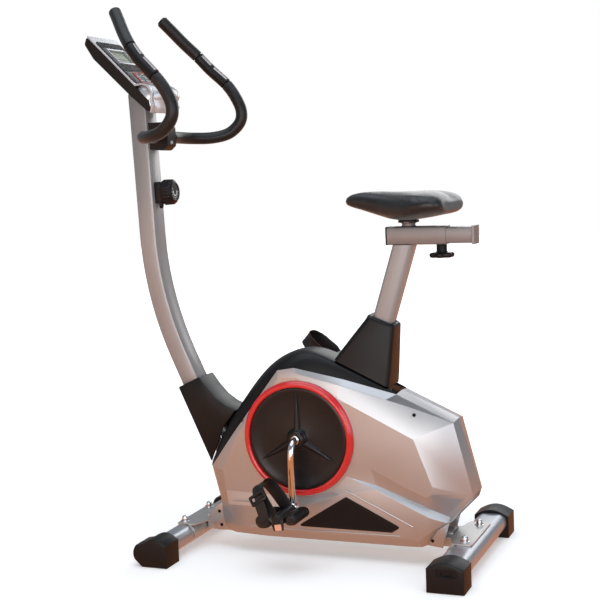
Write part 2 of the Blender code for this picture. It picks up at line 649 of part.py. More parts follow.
def brake_arm():
    """The curved arm that carries the magnets, hinged above the flywheel."""
    axis = empty("brake_axis", (0, BRAKE_Y, BRAKE_Z))
    centre = (FLYWHEEL_Y - BRAKE_Y, FLYWHEEL_Z - BRAKE_Z)
    inner, outer = FLYWHEEL_RADIUS + 0.006, FLYWHEEL_RADIUS + 0.020
    curve = arc(outer, 108, 42, centre, 9) + arc(inner, 42, 108, centre, 9)
    arm = piece("brake_arm", slab([curve], 0.026), STEEL, (0, 0, 0), SIDEWAYS, axis)
    combine(arm, rod(0.009, 0.030, 20), "UNION", (0, 0, 0), TO_LEFT)
    combine(arm, rod(0.0045, 0.060, 12), "DIFFERENCE", (0, 0, 0), TO_LEFT)


crank()
drive_pulley()
for word, side in (("left", 1), ("right", -1)):
    crank_disc("crank_disc_" + word, side)
    bearing("bearing_" + word, side)
flywheel()
piece("drive_belt", slab([belt_loop(0.0026), belt_loop(0.0006)], 0.0125), RUBBER, (PULLEY_X, 0, 0), SIDEWAYS)
brake_arm()


# ---------------------------------------------------------------- pedals
PEDAL_LENGTH = 0.088              # across the pedal, along its spindle
STRAP_LEAN = {"left": math.radians(26), "right": math.radians(42)}   # each strap has slumped forward


def pedal(word, side):
    """Two tread bars on a web, with a strap over the foot."""
    axis = empty("pedal_axis_" + word, (side * PEDAL_X, 0, -side * CRANK_LENGTH), (PEDAL_TILT, 0, 0), CRANK)
    lobe, drop, front, rear = 0.0145, -0.006, -0.040, 0.034
    outline = (arc(lobe, 90, 270, (front, drop), 5)
               + [(front + 0.014, drop - lobe), (-0.020, -0.014), (-0.012, -0.022), (0.012, -0.022), (0.018, -0.014),
                  (rear - 0.012, drop - lobe)]
               + arc(lobe, -90, 90, (rear, drop), 5)
               + [(rear - 0.012, drop + lobe), (0.014, 0.0095), (-0.014, 0.0095), (front + 0.014, drop + lobe)])
    piece("pedal_" + word, slab([outline, circle(0.0075, (0, 0), 14)], PEDAL_LENGTH), RUBBER, (0, 0, 0), SIDEWAYS, axis)
    half, rise, thick = PEDAL_LENGTH / 2 + GAP + 0.0022, 0.090, 0.0020
    outer = [(half, -0.010)] + arch(half, rise) + [(-half, -0.010)]
    inner = [(-half + thick, -0.010)] + arch(half - thick, rise - thick)[::-1] + [(half - thick, -0.010)]
    strap = piece("pedal_strap_" + word, slab([outer + inner], 0.034), RUBBER, (0, -0.006, 0),
                  (math.radians(90) + STRAP_LEAN[word], 0, 0), axis)
    combine(strap, rod(0.0085, 0.2, 16), "DIFFERENCE", (0, 0, 0), TO_LEFT)


def arch(half, rise):
    """A strap's arch, from +half to -half."""
    flat = [1.0, 0.98, 0.90, 0.72, 0.40, 0.0, -0.40, -0.72, -0.90, -0.98, -1.0]
    return [(half * t, 0.022 + (rise - 0.022) * (1 - abs(t) ** 4) ** 0.5) for t in flat]


for word, side in (("left", 1), ("right", -1)):
    pedal(word, side)


# ---------------------------------------------------------------- seat
POST_AXIS = empty("seat_post_axis", (0, SEAT_Y, SEAT_Z), (-SEAT_LEAN, 0, 0))


def seat_post():
    """The sliding post, cut level at its top, where the sleeve is welded on."""
    outer = rectangle(SEAT_POST, SEAT_POST, 0.010)
    inner = rectangle(SEAT_POST - 2 * WALL, SEAT_POST - 2 * WALL, 0.008)
    low, high = -0.235, 0.200
    post = piece("seat_post", slab([outer, inner], high - low), SILVER_PAINT, (0, 0, (low + high) / 2), (0, 0, 0),
                 POST_AXIS)
    above = SLEEVE_Z - SLEEVE_HEIGHT / 2 - GAP + 0.05 - SEAT_Z
    along = (above * math.sin(SEAT_LEAN), above * math.cos(SEAT_LEAN))
    combine(post, box((0.2, 0.3, 0.1)), "DIFFERENCE", (0, -along[0], along[1]), (SEAT_LEAN, 0, 0))


def slider_sleeve():
    """The sleeve across the top of the post, slotted for the saddle's stem."""
    length = SLEEVE_REAR - SLEEVE_FRONT
    outline = [rectangle(SLEEVE_WIDTH, SLEEVE_HEIGHT, 0.005, 2),
               rectangle(SLEEVE_WIDTH - 2 * WALL, SLEEVE_HEIGHT - 2 * WALL, 0.003, 2)]
    sleeve = piece("slider_sleeve", slab(outline, length), SILVER_PAINT,
                   (0, (SLEEVE_FRONT + SLEEVE_REAR) / 2, SLEEVE_Z), BACKWARD)
    slot = (0.036, 0.106, 0.012)
    combine(sleeve, box(slot), "DIFFERENCE", (0, 0.332, SLEEVE_Z + SLEEVE_HEIGHT / 2))
    combine(sleeve, rod(0.0058, 0.012, 12), "DIFFERENCE", (0, STAR_Y, SLEEVE_Z - SLEEVE_HEIGHT / 2))


def slider_rail():
    """The inner rail that carries the saddle, with its end plate."""
    outline = [rectangle(0.045, 0.038, 0.004, 2), rectangle(0.040, 0.033, 0.002, 2)]
    front, rear = 0.292, 0.477
    rail = piece("slider_rail", slab(outline, rear - front), SILVER_PAINT, (0, (front + rear) / 2, SLEEVE_Z), BACKWARD)
    combine(rail, box((SLEEVE_WIDTH, 0.0065, SLEEVE_HEIGHT + 0.001)), "UNION", (0, rear + 0.002, SLEEVE_Z))


def star_knob():
    """A six-lobed knob whose stud clamps the rail."""
    axis = empty("star_knob_axis", (0, STAR_Y, SLEEVE_Z - SLEEVE_HEIGHT / 2))
    lobes = 6
    outline = []
    for k in range(lobes * 6):
        turn = 2 * math.pi * k / (lobes * 6)
        radius = 0.0272 + 0.0033 * math.cos(lobes * turn)
        outline.append((radius * math.cos(turn), radius * math.sin(turn)))
    knob = piece("star_knob", slab([outline], 0.012), BLACK_ABS, (0, 0, -0.026), (0, 0, 0), axis)
    combine(knob, rod(0.0125, 0.026, 20), "UNION", (0, 0, -0.0140), (0, 0, 0.11))
    combine(knob, rod(0.0050, 0.016, 12), "UNION", (0, 0, -0.0060), (0, 0, 0.05))


STAR_Y = 0.397


def saddle():
    """The pan with its stem, and the plain solid that stands for the cushion."""
    pan = piece("saddle_pan", slab([rectangle(0.110, 0.120, 0.02)], 0.004), BLACK_ABS,
                (0, SADDLE_STEM_Y, 0.8205))
    bottom = SLEEVE_Z + 0.019 + GAP
    combine(pan, rod(0.016, 0.820 - bottom, 20), "UNION", (0, SADDLE_STEM_Y, (0.820 + bottom) / 2))
    # y, half width, top and underside of each section, nose to rear
    sections = [(0.158, 0.010, 0.882, 0.866), (0.170, 0.026, 0.894, 0.860), (0.205, 0.036, 0.898, 0.850),
                (0.255, 0.052, 0.895, 0.834), (0.300, 0.080, 0.892, 0.824), (0.345, 0.108, 0.892, 0.826),
                (0.390, 0.121, 0.893, 0.832), (0.418, 0.112, 0.890, 0.838), (0.428, 0.080, 0.878, 0.844)]
    rings = []
    for y, half, top, low in sections:
        middle, rise = (top + low) / 2, (top - low) / 2
        ring = []
        for k in range(16):
            turn = 2 * math.pi * k / 16
            c, s = math.cos(turn), math.sin(turn)
            ring.append((half * math.copysign(abs(c) ** 0.7, c), y, middle + rise * math.copysign(abs(s) ** 0.55, s)))
        rings.append(ring)
    piece("saddle_cushion", loft(rings), VINYL)


def height_pin():
    """The spring pin that locks the seat post, pulled out to the side."""
    axis = empty("height_pin_axis", (-SEAT_TUBE / 2, PIN_Y, PIN_Z))
    profile = [(0, 0.062), (0.012, 0.062), (0.016, 0.057), (0.016, 0.044), (0.012, 0.038), (0.0085, 0.036),
               (0.006, 0.030), (0.006, 0.0008), (0.0045, 0.0008), (0.0045, -0.0012), (0, -0.0012)]
    turned("height_pin", profile, BLACK_ABS, (0, 0, 0), TO_RIGHT, axis, 16)


seat_post()
slider_sleeve()
slider_rail()
star_knob()
saddle()
height_pin()


# ---------------------------------------------------------------- handlebar
BAR = empty("handlebar_axis", (0, BAR_Y, BAR_Z))
# the rider's left half of the bar, from the clamp to its tip
BAR_POINTS = [(0.090, -0.331, 1.048), (0.137, -0.314, 1.046), (0.172, -0.275, 1.046), (0.192, -0.234, 1.056),
              (0.200, -0.204, 1.083), (0.2015, -0.1985, 1.115), (0.2015, -0.214, 1.152), (0.2025, -0.240, 1.187),
              (0.195, -0.281, 1.227), (0.185, -0.311, 1.262), (0.163, -0.340, 1.297), (0.141, -0.364, 1.330),
              (0.123, -0.384, 1.357)]


def bar_path(start, end):
    """The stretch of the left half's smooth path between two shares of its length."""
    path = smooth_path([(0, BAR_Y, BAR_Z), (0.045, BAR_Y, BAR_Z)] + BAR_POINTS, 2)
    first, last = round(start * (len(path) - 1)), round(end * (len(path) - 1))
    return [Vector(p) - BAR.location for p in path[first:last + 1]]


def flip(points, side):
    return [(side * p.x, p.y, p.z) for p in points]


def handlebar():
    left = bar_path(0, 0.99)
    path = flip(left, 1)[::-1] + flip(left, -1)[1:]
    bar = piece("handlebar", sweep(path, BAR_RADIUS, False), BLACK_PAINT, parent=BAR)
    thicken(bar, 0.0016)


def bar_sleeve(name, side, start, end, outer, mat, trim=0.0024):
    """A tube pushed over the bar: foam grip or sensor."""
    points = bar_path(start, end)
    points[0] = points[0] + (points[1] - points[0]).normalized() * trim
    points[-1] = points[-1] + (points[-2] - points[-1]).normalized() * trim
    inner = BAR_RADIUS / math.cos(math.pi / 8) + GAP
    tube = piece(name, sweep(flip(points, side), inner, False), mat, parent=BAR)
    thicken(tube, outer - inner, 1)


SENSOR_START, SENSOR_END = 27 / 42, 33 / 42
handlebar()
for word, side in (("left", 1), ("right", -1)):
    bar_sleeve("grip_" + word, side, 3 / 42, SENSOR_START, GRIP_RADIUS, FOAM)
    bar_sleeve("pulse_sensor_" + word, side, SENSOR_START, SENSOR_END, GRIP_RADIUS + 0.0008, STEEL)
    bar_sleeve("tip_grip_" + word, side, SENSOR_END, 1, GRIP_RADIUS, FOAM)


def handlebar_clamp():
    low, high, rear = 1.014, 1.086, -0.306
    block = rounded([(post_rear(low), low + 0.004), (rear - 0.014, low), (rear, low + 0.012), (rear, high - 0.014),
                     (rear - 0.014, high), (post_rear(high), high)], [0.002, 0.006, 0.006, 0.008, 0.006, 0.002])
    bore = circle(BAR_RADIUS + GAP, (BAR_Y, BAR_Z), 20)
    piece("handlebar_clamp", slab([block, bore], 0.046), BLACK_ABS, (0, 0, 0), SIDEWAYS)


handlebar_clamp()


# ---------------------------------------------------------------- console
CONSOLE = empty("console_face", (0, CONSOLE_Y, CONSOLE_Z), (-CONSOLE_TILT, 0, 0))
BUTTON_X, BUTTON_U = (0.008, -0.022), (0.029, 0.045)
DISPLAY = (0.082, 0.046)                    # across, and down the face
DISPLAY_X, DISPLAY_U = -0.002, -0.045


def console():
    """A moulded case with a silver face, its window, and four buttons."""
    half = CONSOLE_HALF
    case = rounded([(-half, -0.0043), (-0.112, -0.022), (-0.069, -0.032), (0.070, -0.030), (0.134, -0.026),
                    (0.1385, -0.020), (0.118, -0.0043)], [0.003, 0.010, 0.02, 0.02, 0.003, 0.003, 0.003])
    back = piece("console_case", slab([case], CONSOLE_WIDTH), BLACK_ABS, (0, 0, 0), SIDEWAYS, CONSOLE)
    combine(back, box((CONSOLE_WIDTH - 0.008, 0.177, 0.040)), "DIFFERENCE", (0, 0.0035, -0.004))
    post_hole = (POST_WIDTH + 0.002, POST_DEPTH + 0.002, 0.090)
    y, z, lean = post_centre_line()[-1]
    combine(back, box(post_hole), "DIFFERENCE", to_face(y + 0.040 * math.tan(lean), z - 0.040),
            (CONSOLE_TILT + lean, 0, 0))
    face = ([(-half, 0.0), (0.062, 0.0)] + arc(0.030, 140, 20, (0.095, -0.0075), 6)
            + [(0.136, -0.004), (0.1435, -0.022), (0.1405, -0.024), (0.132, -0.008)]
            + arc(0.026, 20, 140, (0.0945, -0.0085), 6) + [(0.065, -0.004), (-half, -0.004)])
    bezel = piece("console_bezel", slab([face], CONSOLE_WIDTH), SILVER_ABS, (0, 0, 0), SIDEWAYS, CONSOLE)
    combine(bezel, box((DISPLAY[0], DISPLAY[1], 0.02)), "DIFFERENCE", (DISPLAY_X, DISPLAY_U, -0.002))
    window = (DISPLAY[0] - 0.001, DISPLAY[1] - 0.001, 0.002)
    piece("display_window", box(window), LENS, (DISPLAY_X, DISPLAY_U, -0.0022), (0, 0, 0), CONSOLE)
    for row, u in enumerate(BUTTON_U):
        for column, x in enumerate(BUTTON_X):
            combine(bezel, box((0.0212, 0.0092, 0.02)), "DIFFERENCE", (x, u, -0.002))
            name = "console_button_" + "ab"[row] + "12"[column]
            button = piece(name, box((0.020, 0.008, 0.005)), RUBBER, (x, u, -0.0005), (0, 0, 0), CONSOLE)
            bevel(button, 0.0015)


def to_face(y, z):
    """World y, z to the console face's own axes."""
    dy, dz = y - CONSOLE_Y, z - CONSOLE_Z
    c, s = math.cos(CONSOLE_TILT), math.sin(CONSOLE_TILT)
    return (0, c * dy - s * dz, s * dy + c * dz)


console()


# ---------------------------------------------------------------- tension knob
def tension_knob():
    """The turning knob on the back of the post, on its fixed base."""
    mount = empty("tension_knob_mount", (0, post_rear(KNOB_Z), KNOB_Z), (POST_LEAN_TOP, 0, 0))
    base = piece("tension_knob_base", box((0.040, 0.018, 0.056)), BLACK_ABS, (0, 0.009, 0), (0, 0, 0), mount)
    bevel(base, 0.004)
    axis = empty("tension_knob_axis", (0, 0.0183, 0), (0, 0, 0), mount)
    profile = [(0, 0.033), (0.022, 0.033), (0.026, 0.030), (0.0325, 0.026), (0.033, 0.004), (0.029, 0.0005),
               (0, 0.0005)]
    turned("tension_knob", profile, BLACK_ABS, (0, 0, 0), BACKWARD, axis, 28)


tension_knob()
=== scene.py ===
"""Upright magnetic exercise bike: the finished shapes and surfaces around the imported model.

Metres, +Z up. The rider faces -Y, so +X is the rider's left.
"""
from math import copysign, cos, exp, hypot, pi, radians, sin, tan

import bmesh
import bpy
from mathutils import Euler, Matrix, Vector


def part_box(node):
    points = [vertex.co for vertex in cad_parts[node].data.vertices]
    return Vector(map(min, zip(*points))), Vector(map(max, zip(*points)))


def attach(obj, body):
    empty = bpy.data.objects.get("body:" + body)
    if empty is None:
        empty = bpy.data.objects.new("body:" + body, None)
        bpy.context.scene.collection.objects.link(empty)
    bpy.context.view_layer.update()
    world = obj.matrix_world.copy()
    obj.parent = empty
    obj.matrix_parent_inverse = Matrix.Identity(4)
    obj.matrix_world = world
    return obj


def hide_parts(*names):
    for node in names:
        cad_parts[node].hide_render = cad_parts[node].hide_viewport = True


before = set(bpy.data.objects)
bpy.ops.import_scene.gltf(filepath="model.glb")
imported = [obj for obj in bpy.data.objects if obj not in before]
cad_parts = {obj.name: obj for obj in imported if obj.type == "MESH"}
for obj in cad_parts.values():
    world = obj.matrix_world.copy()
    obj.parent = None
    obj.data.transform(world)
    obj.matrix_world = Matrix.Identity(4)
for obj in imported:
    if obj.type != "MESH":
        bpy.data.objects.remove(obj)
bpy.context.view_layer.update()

SIDES = (("left", 1), ("right", -1))       # each side's name and sense of X


# ---------------------------------------------------------------- studio
# A white infinity cove with large softboxes over, beside and behind the bike. A warm lamp
# low before it tints its flat sides, and so does a painted reflection: the pale floor glows
# a timber colour in mirrored rays only.
def linear(code):
    """The linear colour of an sRGB hex value."""
    parts = [int(code[i:i + 2], 16) / 255 for i in (0, 2, 4)]
    return [p / 12.92 if p <= 0.04045 else ((p + 0.055) / 1.055) ** 2.4 for p in parts] + [1.0]


def add(tree, kind, inputs=(), **settings):
    """One node with its settings; an input takes a value, or another node's socket."""
    node = tree.nodes.new(kind)
    for key, value in settings.items():
        setattr(node, key, value)
    for key, value in dict(inputs).items():
        if isinstance(value, bpy.types.NodeSocket):
            tree.links.new(value, node.inputs[key])
        else:
            node.inputs[key].default_value = value
    return node


def linked(name, data):
    """A new object in the scene."""
    made = bpy.data.objects.new(name, data)
    bpy.context.scene.collection.objects.link(made)
    return made


def softbox(name, place, target, size, power, color="ffffff"):
    light = bpy.data.lights.new(name, "AREA")
    light.shape, light.size, light.size_y = "RECTANGLE", *size
    light.energy, light.color = power, linear(color)[:3]
    lamp = linked(name, light)
    lamp.location = place
    lamp.rotation_euler = (Vector(target) - Vector(place)).to_track_quat("-Z", "Y").to_euler()
    lamp.visible_camera = False


bpy.context.scene.view_settings.view_transform = "Standard"
world = bpy.data.worlds.new("cove")
bpy.context.scene.world = world
world.use_nodes = True
# the cove is seen as white, and lights the bike only dimly, so that the softboxes shape it
sky = add(world.node_tree, "ShaderNodeBackground", {"Color": linear("e9eef5"), "Strength": 0.34})
seen_white = add(world.node_tree, "ShaderNodeBackground", {"Color": linear("ffffff"), "Strength": 1.0})
seen = add(world.node_tree, "ShaderNodeLightPath").outputs["Is Camera Ray"]
cove = add(world.node_tree, "ShaderNodeMixShader", {0: seen, 1: sky.outputs[0], 2: seen_white.outputs[0]})
world.node_tree.links.new(cove.outputs[0], world.node_tree.nodes["World Output"].inputs["Surface"])

FLOOR_RADIUS = 14.0
floor_mesh = bpy.data.meshes.new("floor")
bm = bmesh.new()
bmesh.ops.create_circle(bm, cap_ends=True, segments=96, radius=FLOOR_RADIUS)
bm.to_mesh(floor_mesh)
bm.free()
floor = linked("floor", floor_mesh)
floor_paint = bpy.data.materials.new("matt_floor_paint")
floor_paint.use_nodes = True
tree = floor_paint.node_tree
roller = add(tree, "ShaderNodeTexNoise", {"Vector": add(tree, "ShaderNodeTexCoord").outputs["Object"], "Scale": 1.5,
    "Detail": 2.0}).outputs["Fac"]
shade = add(tree, "ShaderNodeMix", {0: roller, 6: linear("f4f4f3"), 7: linear("f7f7f6")}, data_type="RGBA")
tree.links.new(shade.outputs[2], tree.nodes["Principled BSDF"].inputs["Base Color"])
tree.nodes["Principled BSDF"].inputs["Roughness"].default_value = 0.85
tree.nodes["Principled BSDF"].inputs["Specular IOR Level"].default_value = 0.2
# the cove glows a little further out, so that it stays white behind the bike; in mirrored
# rays only it glows a warm timber colour instead, a painted reflection on the bike's gloss
reach = add(tree, "ShaderNodeVectorMath", {0: add(tree, "ShaderNodeTexCoord").outputs["Object"]},
    operation="LENGTH")
glow = add(tree, "ShaderNodeMapRange", {"Value": reach.outputs["Value"], "From Min": 0.6, "From Max": 3.6,
    "To Min": 0.24, "To Max": 1.05})
tree.nodes["Principled BSDF"].inputs["Emission Color"].default_value = (1, 1, 1, 1)
tree.links.new(glow.outputs[0], tree.nodes["Principled BSDF"].inputs["Emission Strength"])
painted_timber_reflection = add(tree, "ShaderNodeEmission", {"Color": linear("ea9865"), "Strength": 0.95})
mirrored = add(tree, "ShaderNodeLightPath").outputs["Is Glossy Ray"]
shown = add(tree, "ShaderNodeMixShader", {0: mirrored, 1: tree.nodes["Principled BSDF"].outputs[0],
    2: painted_timber_reflection.outputs[0]})
tree.links.new(shown.outputs[0], tree.nodes["Material Output"].inputs["Surface"])
floor_mesh.materials.append(floor_paint)

softbox("overhead", (0.4, 0.0, 3.2), (0, 0, 0.6), (3.4, 2.8), 62, "e4edf8")
softbox("window", (3.6, 0.85, 1.1), (0.1, 0.3, 0.4), (2.8, 1.7), 58)
softbox("rear_fill", (1.9, 3.1, 1.2), (0, 0.3, 0.5), (2.6, 2.0), 34, "f1f5ff")
softbox("far_fill", (-2.8, 0.4, 2.0), (0, 0, 0.6), (2.4, 2.0), 36)
softbox("warm_wall", (2.3, -1.75, 0.6), (0, -1.75, 0.6), (3.3, 1.5), 17, "f0b793")

AZIMUTH, ELEVATION, ROLL = (radians(turn) for turn in (111.705, 5.84, -2.123))
back = Vector((sin(AZIMUTH) * cos(ELEVATION), -cos(AZIMUTH) * cos(ELEVATION), sin(ELEVATION)))
level = Vector((0, 0, 1)).cross(back).normalized()
plumb = back.cross(level)
across = level * cos(ROLL) + plumb * sin(ROLL)
upward = plumb * cos(ROLL) - level * sin(ROLL)
camera = linked("camera", bpy.data.cameras.new("camera"))
camera.data.sensor_width, camera.data.lens = 36.0, 76.5
camera.data.clip_end = 60.0
camera.matrix_world = (Matrix.Translation((2.9357, 1.1984, 0.9534)) @ Matrix((across, upward,
    back)).transposed().to_4x4())
bpy.context.scene.camera = camera


# ---------------------------------------------------------------- stabiliser tubes
# Two flat-oval steel tubes, cut square and sprayed with metallic silver powder, then
# baked. The powder leaves a faint orange peel with fine bright flakes in it.
def surface(name, tones, patch, grain, relief, gloss, cells=False, **shader):
    """A finish whose tone drifts between two colours over patches of one size, and whose
    gloss and relief follow a finer grain; sizes are in metres."""
    made = bpy.data.materials.new(name)
    made.use_nodes = True
    tree = made.node_tree
    skin = tree.nodes["Principled BSDF"]
    place = add(tree, "ShaderNodeTexCoord").outputs["Object"]
    drift = add(tree, "ShaderNodeTexNoise", {"Vector": place, "Scale": 1 / patch, "Detail": 4.0}).outputs["Fac"]
    tone = add(tree, "ShaderNodeMix", {0: drift, 6: linear(tones[0]), 7: linear(tones[1])}, data_type="RGBA")
    if cells:
        texture = add(tree, "ShaderNodeTexVoronoi", {"Vector": place, "Scale": 1 / grain}, feature="SMOOTH_F1")
        height = texture.outputs["Distance"]
    else:
        texture = add(tree, "ShaderNodeTexNoise", {"Vector": place, "Scale": 1 / grain, "Detail": 3.0})
        height = texture.outputs["Fac"]
    mixed = add(tree, "ShaderNodeMath", {0: drift, 1: height}, operation="ADD")
    rough = add(tree, "ShaderNodeMapRange", {"Value": mixed.outputs[0], "From Min": 0.5, "From Max": 1.5,
        "To Min": gloss[0], "To Max": gloss[1]})
    bump = add(tree, "ShaderNodeBump", {"Height": height, "Distance": relief, "Strength": 0.6})
    tree.links.new(tone.outputs[2], skin.inputs["Base Color"])
    tree.links.new(rough.outputs[0], skin.inputs["Roughness"])
    tree.links.new(bump.outputs[0], skin.inputs["Normal"])
    for key, value in shader.items():
        skin.inputs[key.replace("_", " ")].default_value = value
    return made


def finish(name, mesh, mat, body, nodes=(), sharp=35, rounding=0.0, segments=2):
    """Hands a piece over: its finish, its body, and the solids it stands for."""
    made = linked(name, mesh)
    mesh.materials.clear()
    mesh.materials.append(mat)
    mesh.shade_smooth()
    if rounding:
        edge = made.modifiers.new("rounding", "BEVEL")
        edge.width, edge.segments, edge.harden_normals = rounding, segments, True
        edge.limit_method, edge.angle_limit = "ANGLE", radians(sharp)
    else:
        mesh.set_sharp_from_angle(angle=radians(sharp))
    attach(made, body)
    if nodes:
        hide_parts(*nodes)
    return made


def welded(node):
    """A merged copy of a solid's mesh, its flat faces whole again."""
    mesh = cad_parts[node].data.copy()
    bm = bmesh.new()
    bm.from_mesh(mesh)
    bmesh.ops.remove_doubles(bm, verts=bm.verts, dist=0.00002)
    bmesh.ops.dissolve_limit(bm, angle_limit=radians(1), verts=bm.verts, edges=bm.edges)
    bm.to_mesh(mesh)
    bm.free()
    for layer in list(mesh.uv_layers):
        mesh.uv_layers.remove(layer)
    if "custom_normal" in mesh.attributes:
        mesh.attributes.remove(mesh.attributes["custom_normal"])
    return mesh


def refined(node, mat, body, rounding, segments=2):
    """A solid of the model with its edges eased, in its own finish."""
    finish(node + "_finished", welded(node), mat, body, [node], 35, rounding, segments)


# flakes drawn at 0.9 mm, coarser than real ones, so that they still show
powder = surface("silver_powder_coated_steel", ("9b9fa6", "a5a9b0"), 0.12, 0.0009, 0.00004, (0.27, 0.36),
    Metallic=0.65, Coat_Weight=0.25, Coat_Roughness=0.18)
refined("rear_stabilizer", powder, "frame", 0.001)
refined("front_stabilizer", powder, "frame", 0.001)


# ---------------------------------------------------------------- foot caps
# Moulded rubber-like plastic, pushed over each tube's end. The crown is arched, the
# end face flat; the front ones bulge round a small wheel, the rear ones have a slot.
STAND_HALF, FOOT_LENGTH = 0.265, 0.07
TUBE_Z, TUBE_HEIGHT = 0.039, 0.046
REAR_Y, REAR_DEPTH, REAR_TUBE = 0.456, 0.088, 0.076
FRONT_Y, FRONT_DEPTH, FRONT_TUBE = -0.274, 0.068, 0.058
WHEEL_X, WHEEL_RADIUS, WHEEL_Y, WHEEL_Z = 0.246, 0.027, -0.306, 0.033
ALONG_X = (radians(90), 0, radians(90))      # outline (a, b) to (y, z)
TURN_LEFT, TURN_RIGHT = (0, radians(90), 0), (0, radians(-90), 0)
REARWARD = (radians(-90), 0, 0)


def placed(mesh, location=(0, 0, 0), rotation=(0, 0, 0)):
    mesh.transform(Matrix.LocRotScale(Vector(location), Euler(rotation), None))
    return mesh


def from_bm(bm):
    bmesh.ops.remove_doubles(bm, verts=bm.verts, dist=0.000005)
    bmesh.ops.recalc_face_normals(bm, faces=bm.faces)
    mesh = bpy.data.meshes.new("shape")
    bm.to_mesh(mesh)
    bm.free()
    return mesh


def skin(rings, capped=True):
    """A surface through closed rings of equal length."""
    bm = bmesh.new()
    rows = [[bm.verts.new(point) for point in ring] for ring in rings]
    count = len(rows[0])
    for above, below in zip(rows, rows[1:]):
        for i in range(count):
            j = (i + 1) % count
            bm.faces.new((above[i], above[j], below[j], below[i]))
    if capped:
        bm.faces.new(rows[0])
        bm.faces.new(rows[-1])
    return from_bm(bm)


def prism(outline, thickness):
    """A flat outline with a thickness, centred on its own plane."""
    return skin([[(a, b, end * thickness / 2) for a, b in outline] for end in (-1, 1)])


def round_section(radius, sides=24):
    return [(radius * cos(2 * pi * k / sides), radius * sin(2 * pi * k / sides)) for k in range(sides)]


def turn(profile, steps=64):
    """A closed profile of (radius, height) turned about its own Z."""
    bm = bmesh.new()
    rows = []
    for radius, height in profile:
        count = steps if radius else 1
        rows.append([bm.verts.new((*point, height)) for point in round_section(radius, steps)[:count]])
    for one, two in zip(rows, rows[1:] + rows[:1]):
        for k in range(steps):
            j = k + 1
            corners = (one[k % len(one)], one[j % len(one)], two[j % len(two)], two[k % len(two)])
            corners = list(dict.fromkeys(corners))
            if len(corners) > 2:
                bm.faces.new(corners)
    return from_bm(bm)


def joined(*meshes):
    bm = bmesh.new()
    for mesh in meshes:
        bm.from_mesh(mesh)
    whole = bpy.data.meshes.new("joined")
    bm.to_mesh(whole)
    bm.free()
    return whole


def worked(mesh, *tools, modifiers=()):
    """A mesh after its cuts, and any modifier given as (kind, settings)."""
    block = linked("block", mesh)
    cutters = [linked("cutter", tool) for tool in tools]
    for cutter in cutters:
        boolean = block.modifiers.new("boolean", "BOOLEAN")
        boolean.operation, boolean.object = "DIFFERENCE", cutter
    for kind, settings in modifiers:
        made = block.modifiers.new(kind.lower(), kind)
        for key, value in settings.items():
            setattr(made, key, value)
    graph = bpy.context.evaluated_depsgraph_get()
    result = bpy.data.meshes.new_from_object(block.evaluated_get(graph))
    for used in (block, *cutters):
        bpy.data.objects.remove(used)
    return result


def bevel(width, segments=1, **more):
    """A bevel for worked()."""
    return [("BEVEL", {"width": width, "segments": segments, **more})]


def arc(radius, start, end, centre=(0, 0), steps=12):
    turns = [radians(start + (end - start) * k / steps) for k in range(steps + 1)]
    return [(centre[0] + radius * cos(t), centre[1] + radius * sin(t)) for t in turns]


def slab_corners(width, height, radius, steps=6):
    """A rectangle's outline with round corners."""
    a, b = width / 2 - radius, height / 2 - radius
    outline = []
    for quarter, (x, y) in enumerate(((a, b), (-a, b), (-a, -b), (a, -b))):
        outline += arc(radius, 90 * quarter, 90 * quarter + 90, (x, y), steps)
    return outline


def foot(y, depth, bulge, grow=0.0):
    """The cap's outline seen from the side, which may be drawn smaller for an inset."""
    low, high, shoulder, crown = y - depth / 2 + grow, y + depth / 2 - grow, 0.056 - grow, 0.071 - grow
    top = [(high + (low - high) * k / 18, shoulder + (crown - shoulder) * sin(pi * k / 18)) for k in range(19)]
    if bulge:
        top = top[:-1] + arc(0.03 - grow, 132, 208, (low - grow + 0.007, 0.033), 10)
    return [(low, grow), (high, grow)] + top


grey_rubber = surface("moulded_black_rubber", ("0d0d0e", "141415"), 0.03, 0.0012, 0.00005, (0.34, 0.5),
    Specular_IOR_Level=0.24)
for word, side in SIDES:
    for end, y, depth, tube, tube_half in (("rear", REAR_Y, REAR_DEPTH, REAR_TUBE, 0.25),
            ("front", FRONT_Y, FRONT_DEPTH, FRONT_TUBE, 0.2345)):
        bulge = end == "front"
        outer = side * STAND_HALF
        rows = []
        for back_off, shrink in ((0.07, 0.0), (0.004, 0.0), (0.0012, 0.0012), (0.0, 0.004)):
            rows.append([(outer - side * back_off, a, b) for a, b in foot(y, depth, bulge, shrink)])
        cap = skin(rows)
        reach = tube_half + 0.0003 - (STAND_HALF - FOOT_LENGTH - 0.01)
        socket = placed(prism(slab_corners(tube + 0.0012, TUBE_HEIGHT + 0.0012, 0.0212, 8), reach),
            (side * (STAND_HALF - FOOT_LENGTH - 0.01 + reach / 2), y, TUBE_Z), ALONG_X)
        cuts = [socket]
        if bulge:
            cuts.append(placed(turn([(0, 0.0105), (WHEEL_RADIUS + 0.0015, 0.0105), (WHEEL_RADIUS + 0.0015, -0.0105),
                (0, -0.0105)], 48), (side * WHEEL_X, WHEEL_Y, WHEEL_Z), TURN_LEFT))
        else:
            cuts.append(placed(prism(slab_corners(0.044, 0.017, 0.002, 4), 0.006), (outer, y + 0.003, 0.047),
                ALONG_X))
            cuts.append(placed(prism(slab_corners(0.028, 0.009, 0.0015, 4), 0.016), (outer, y + 0.003, 0.045),
                ALONG_X))
        cap = worked(cap, *cuts)
        if bulge:
            cap = joined(cap, placed(turn([(0, 0.0111), (0.004, 0.0111), (0.004, -0.0111), (0, -0.0111)], 20),
                (side * WHEEL_X, WHEEL_Y, WHEEL_Z), TURN_LEFT))
        node = f"{end}_foot_{word}"
        finish(node + "_finished", cap, grey_rubber, "frame", [node], 40, 0.0009)


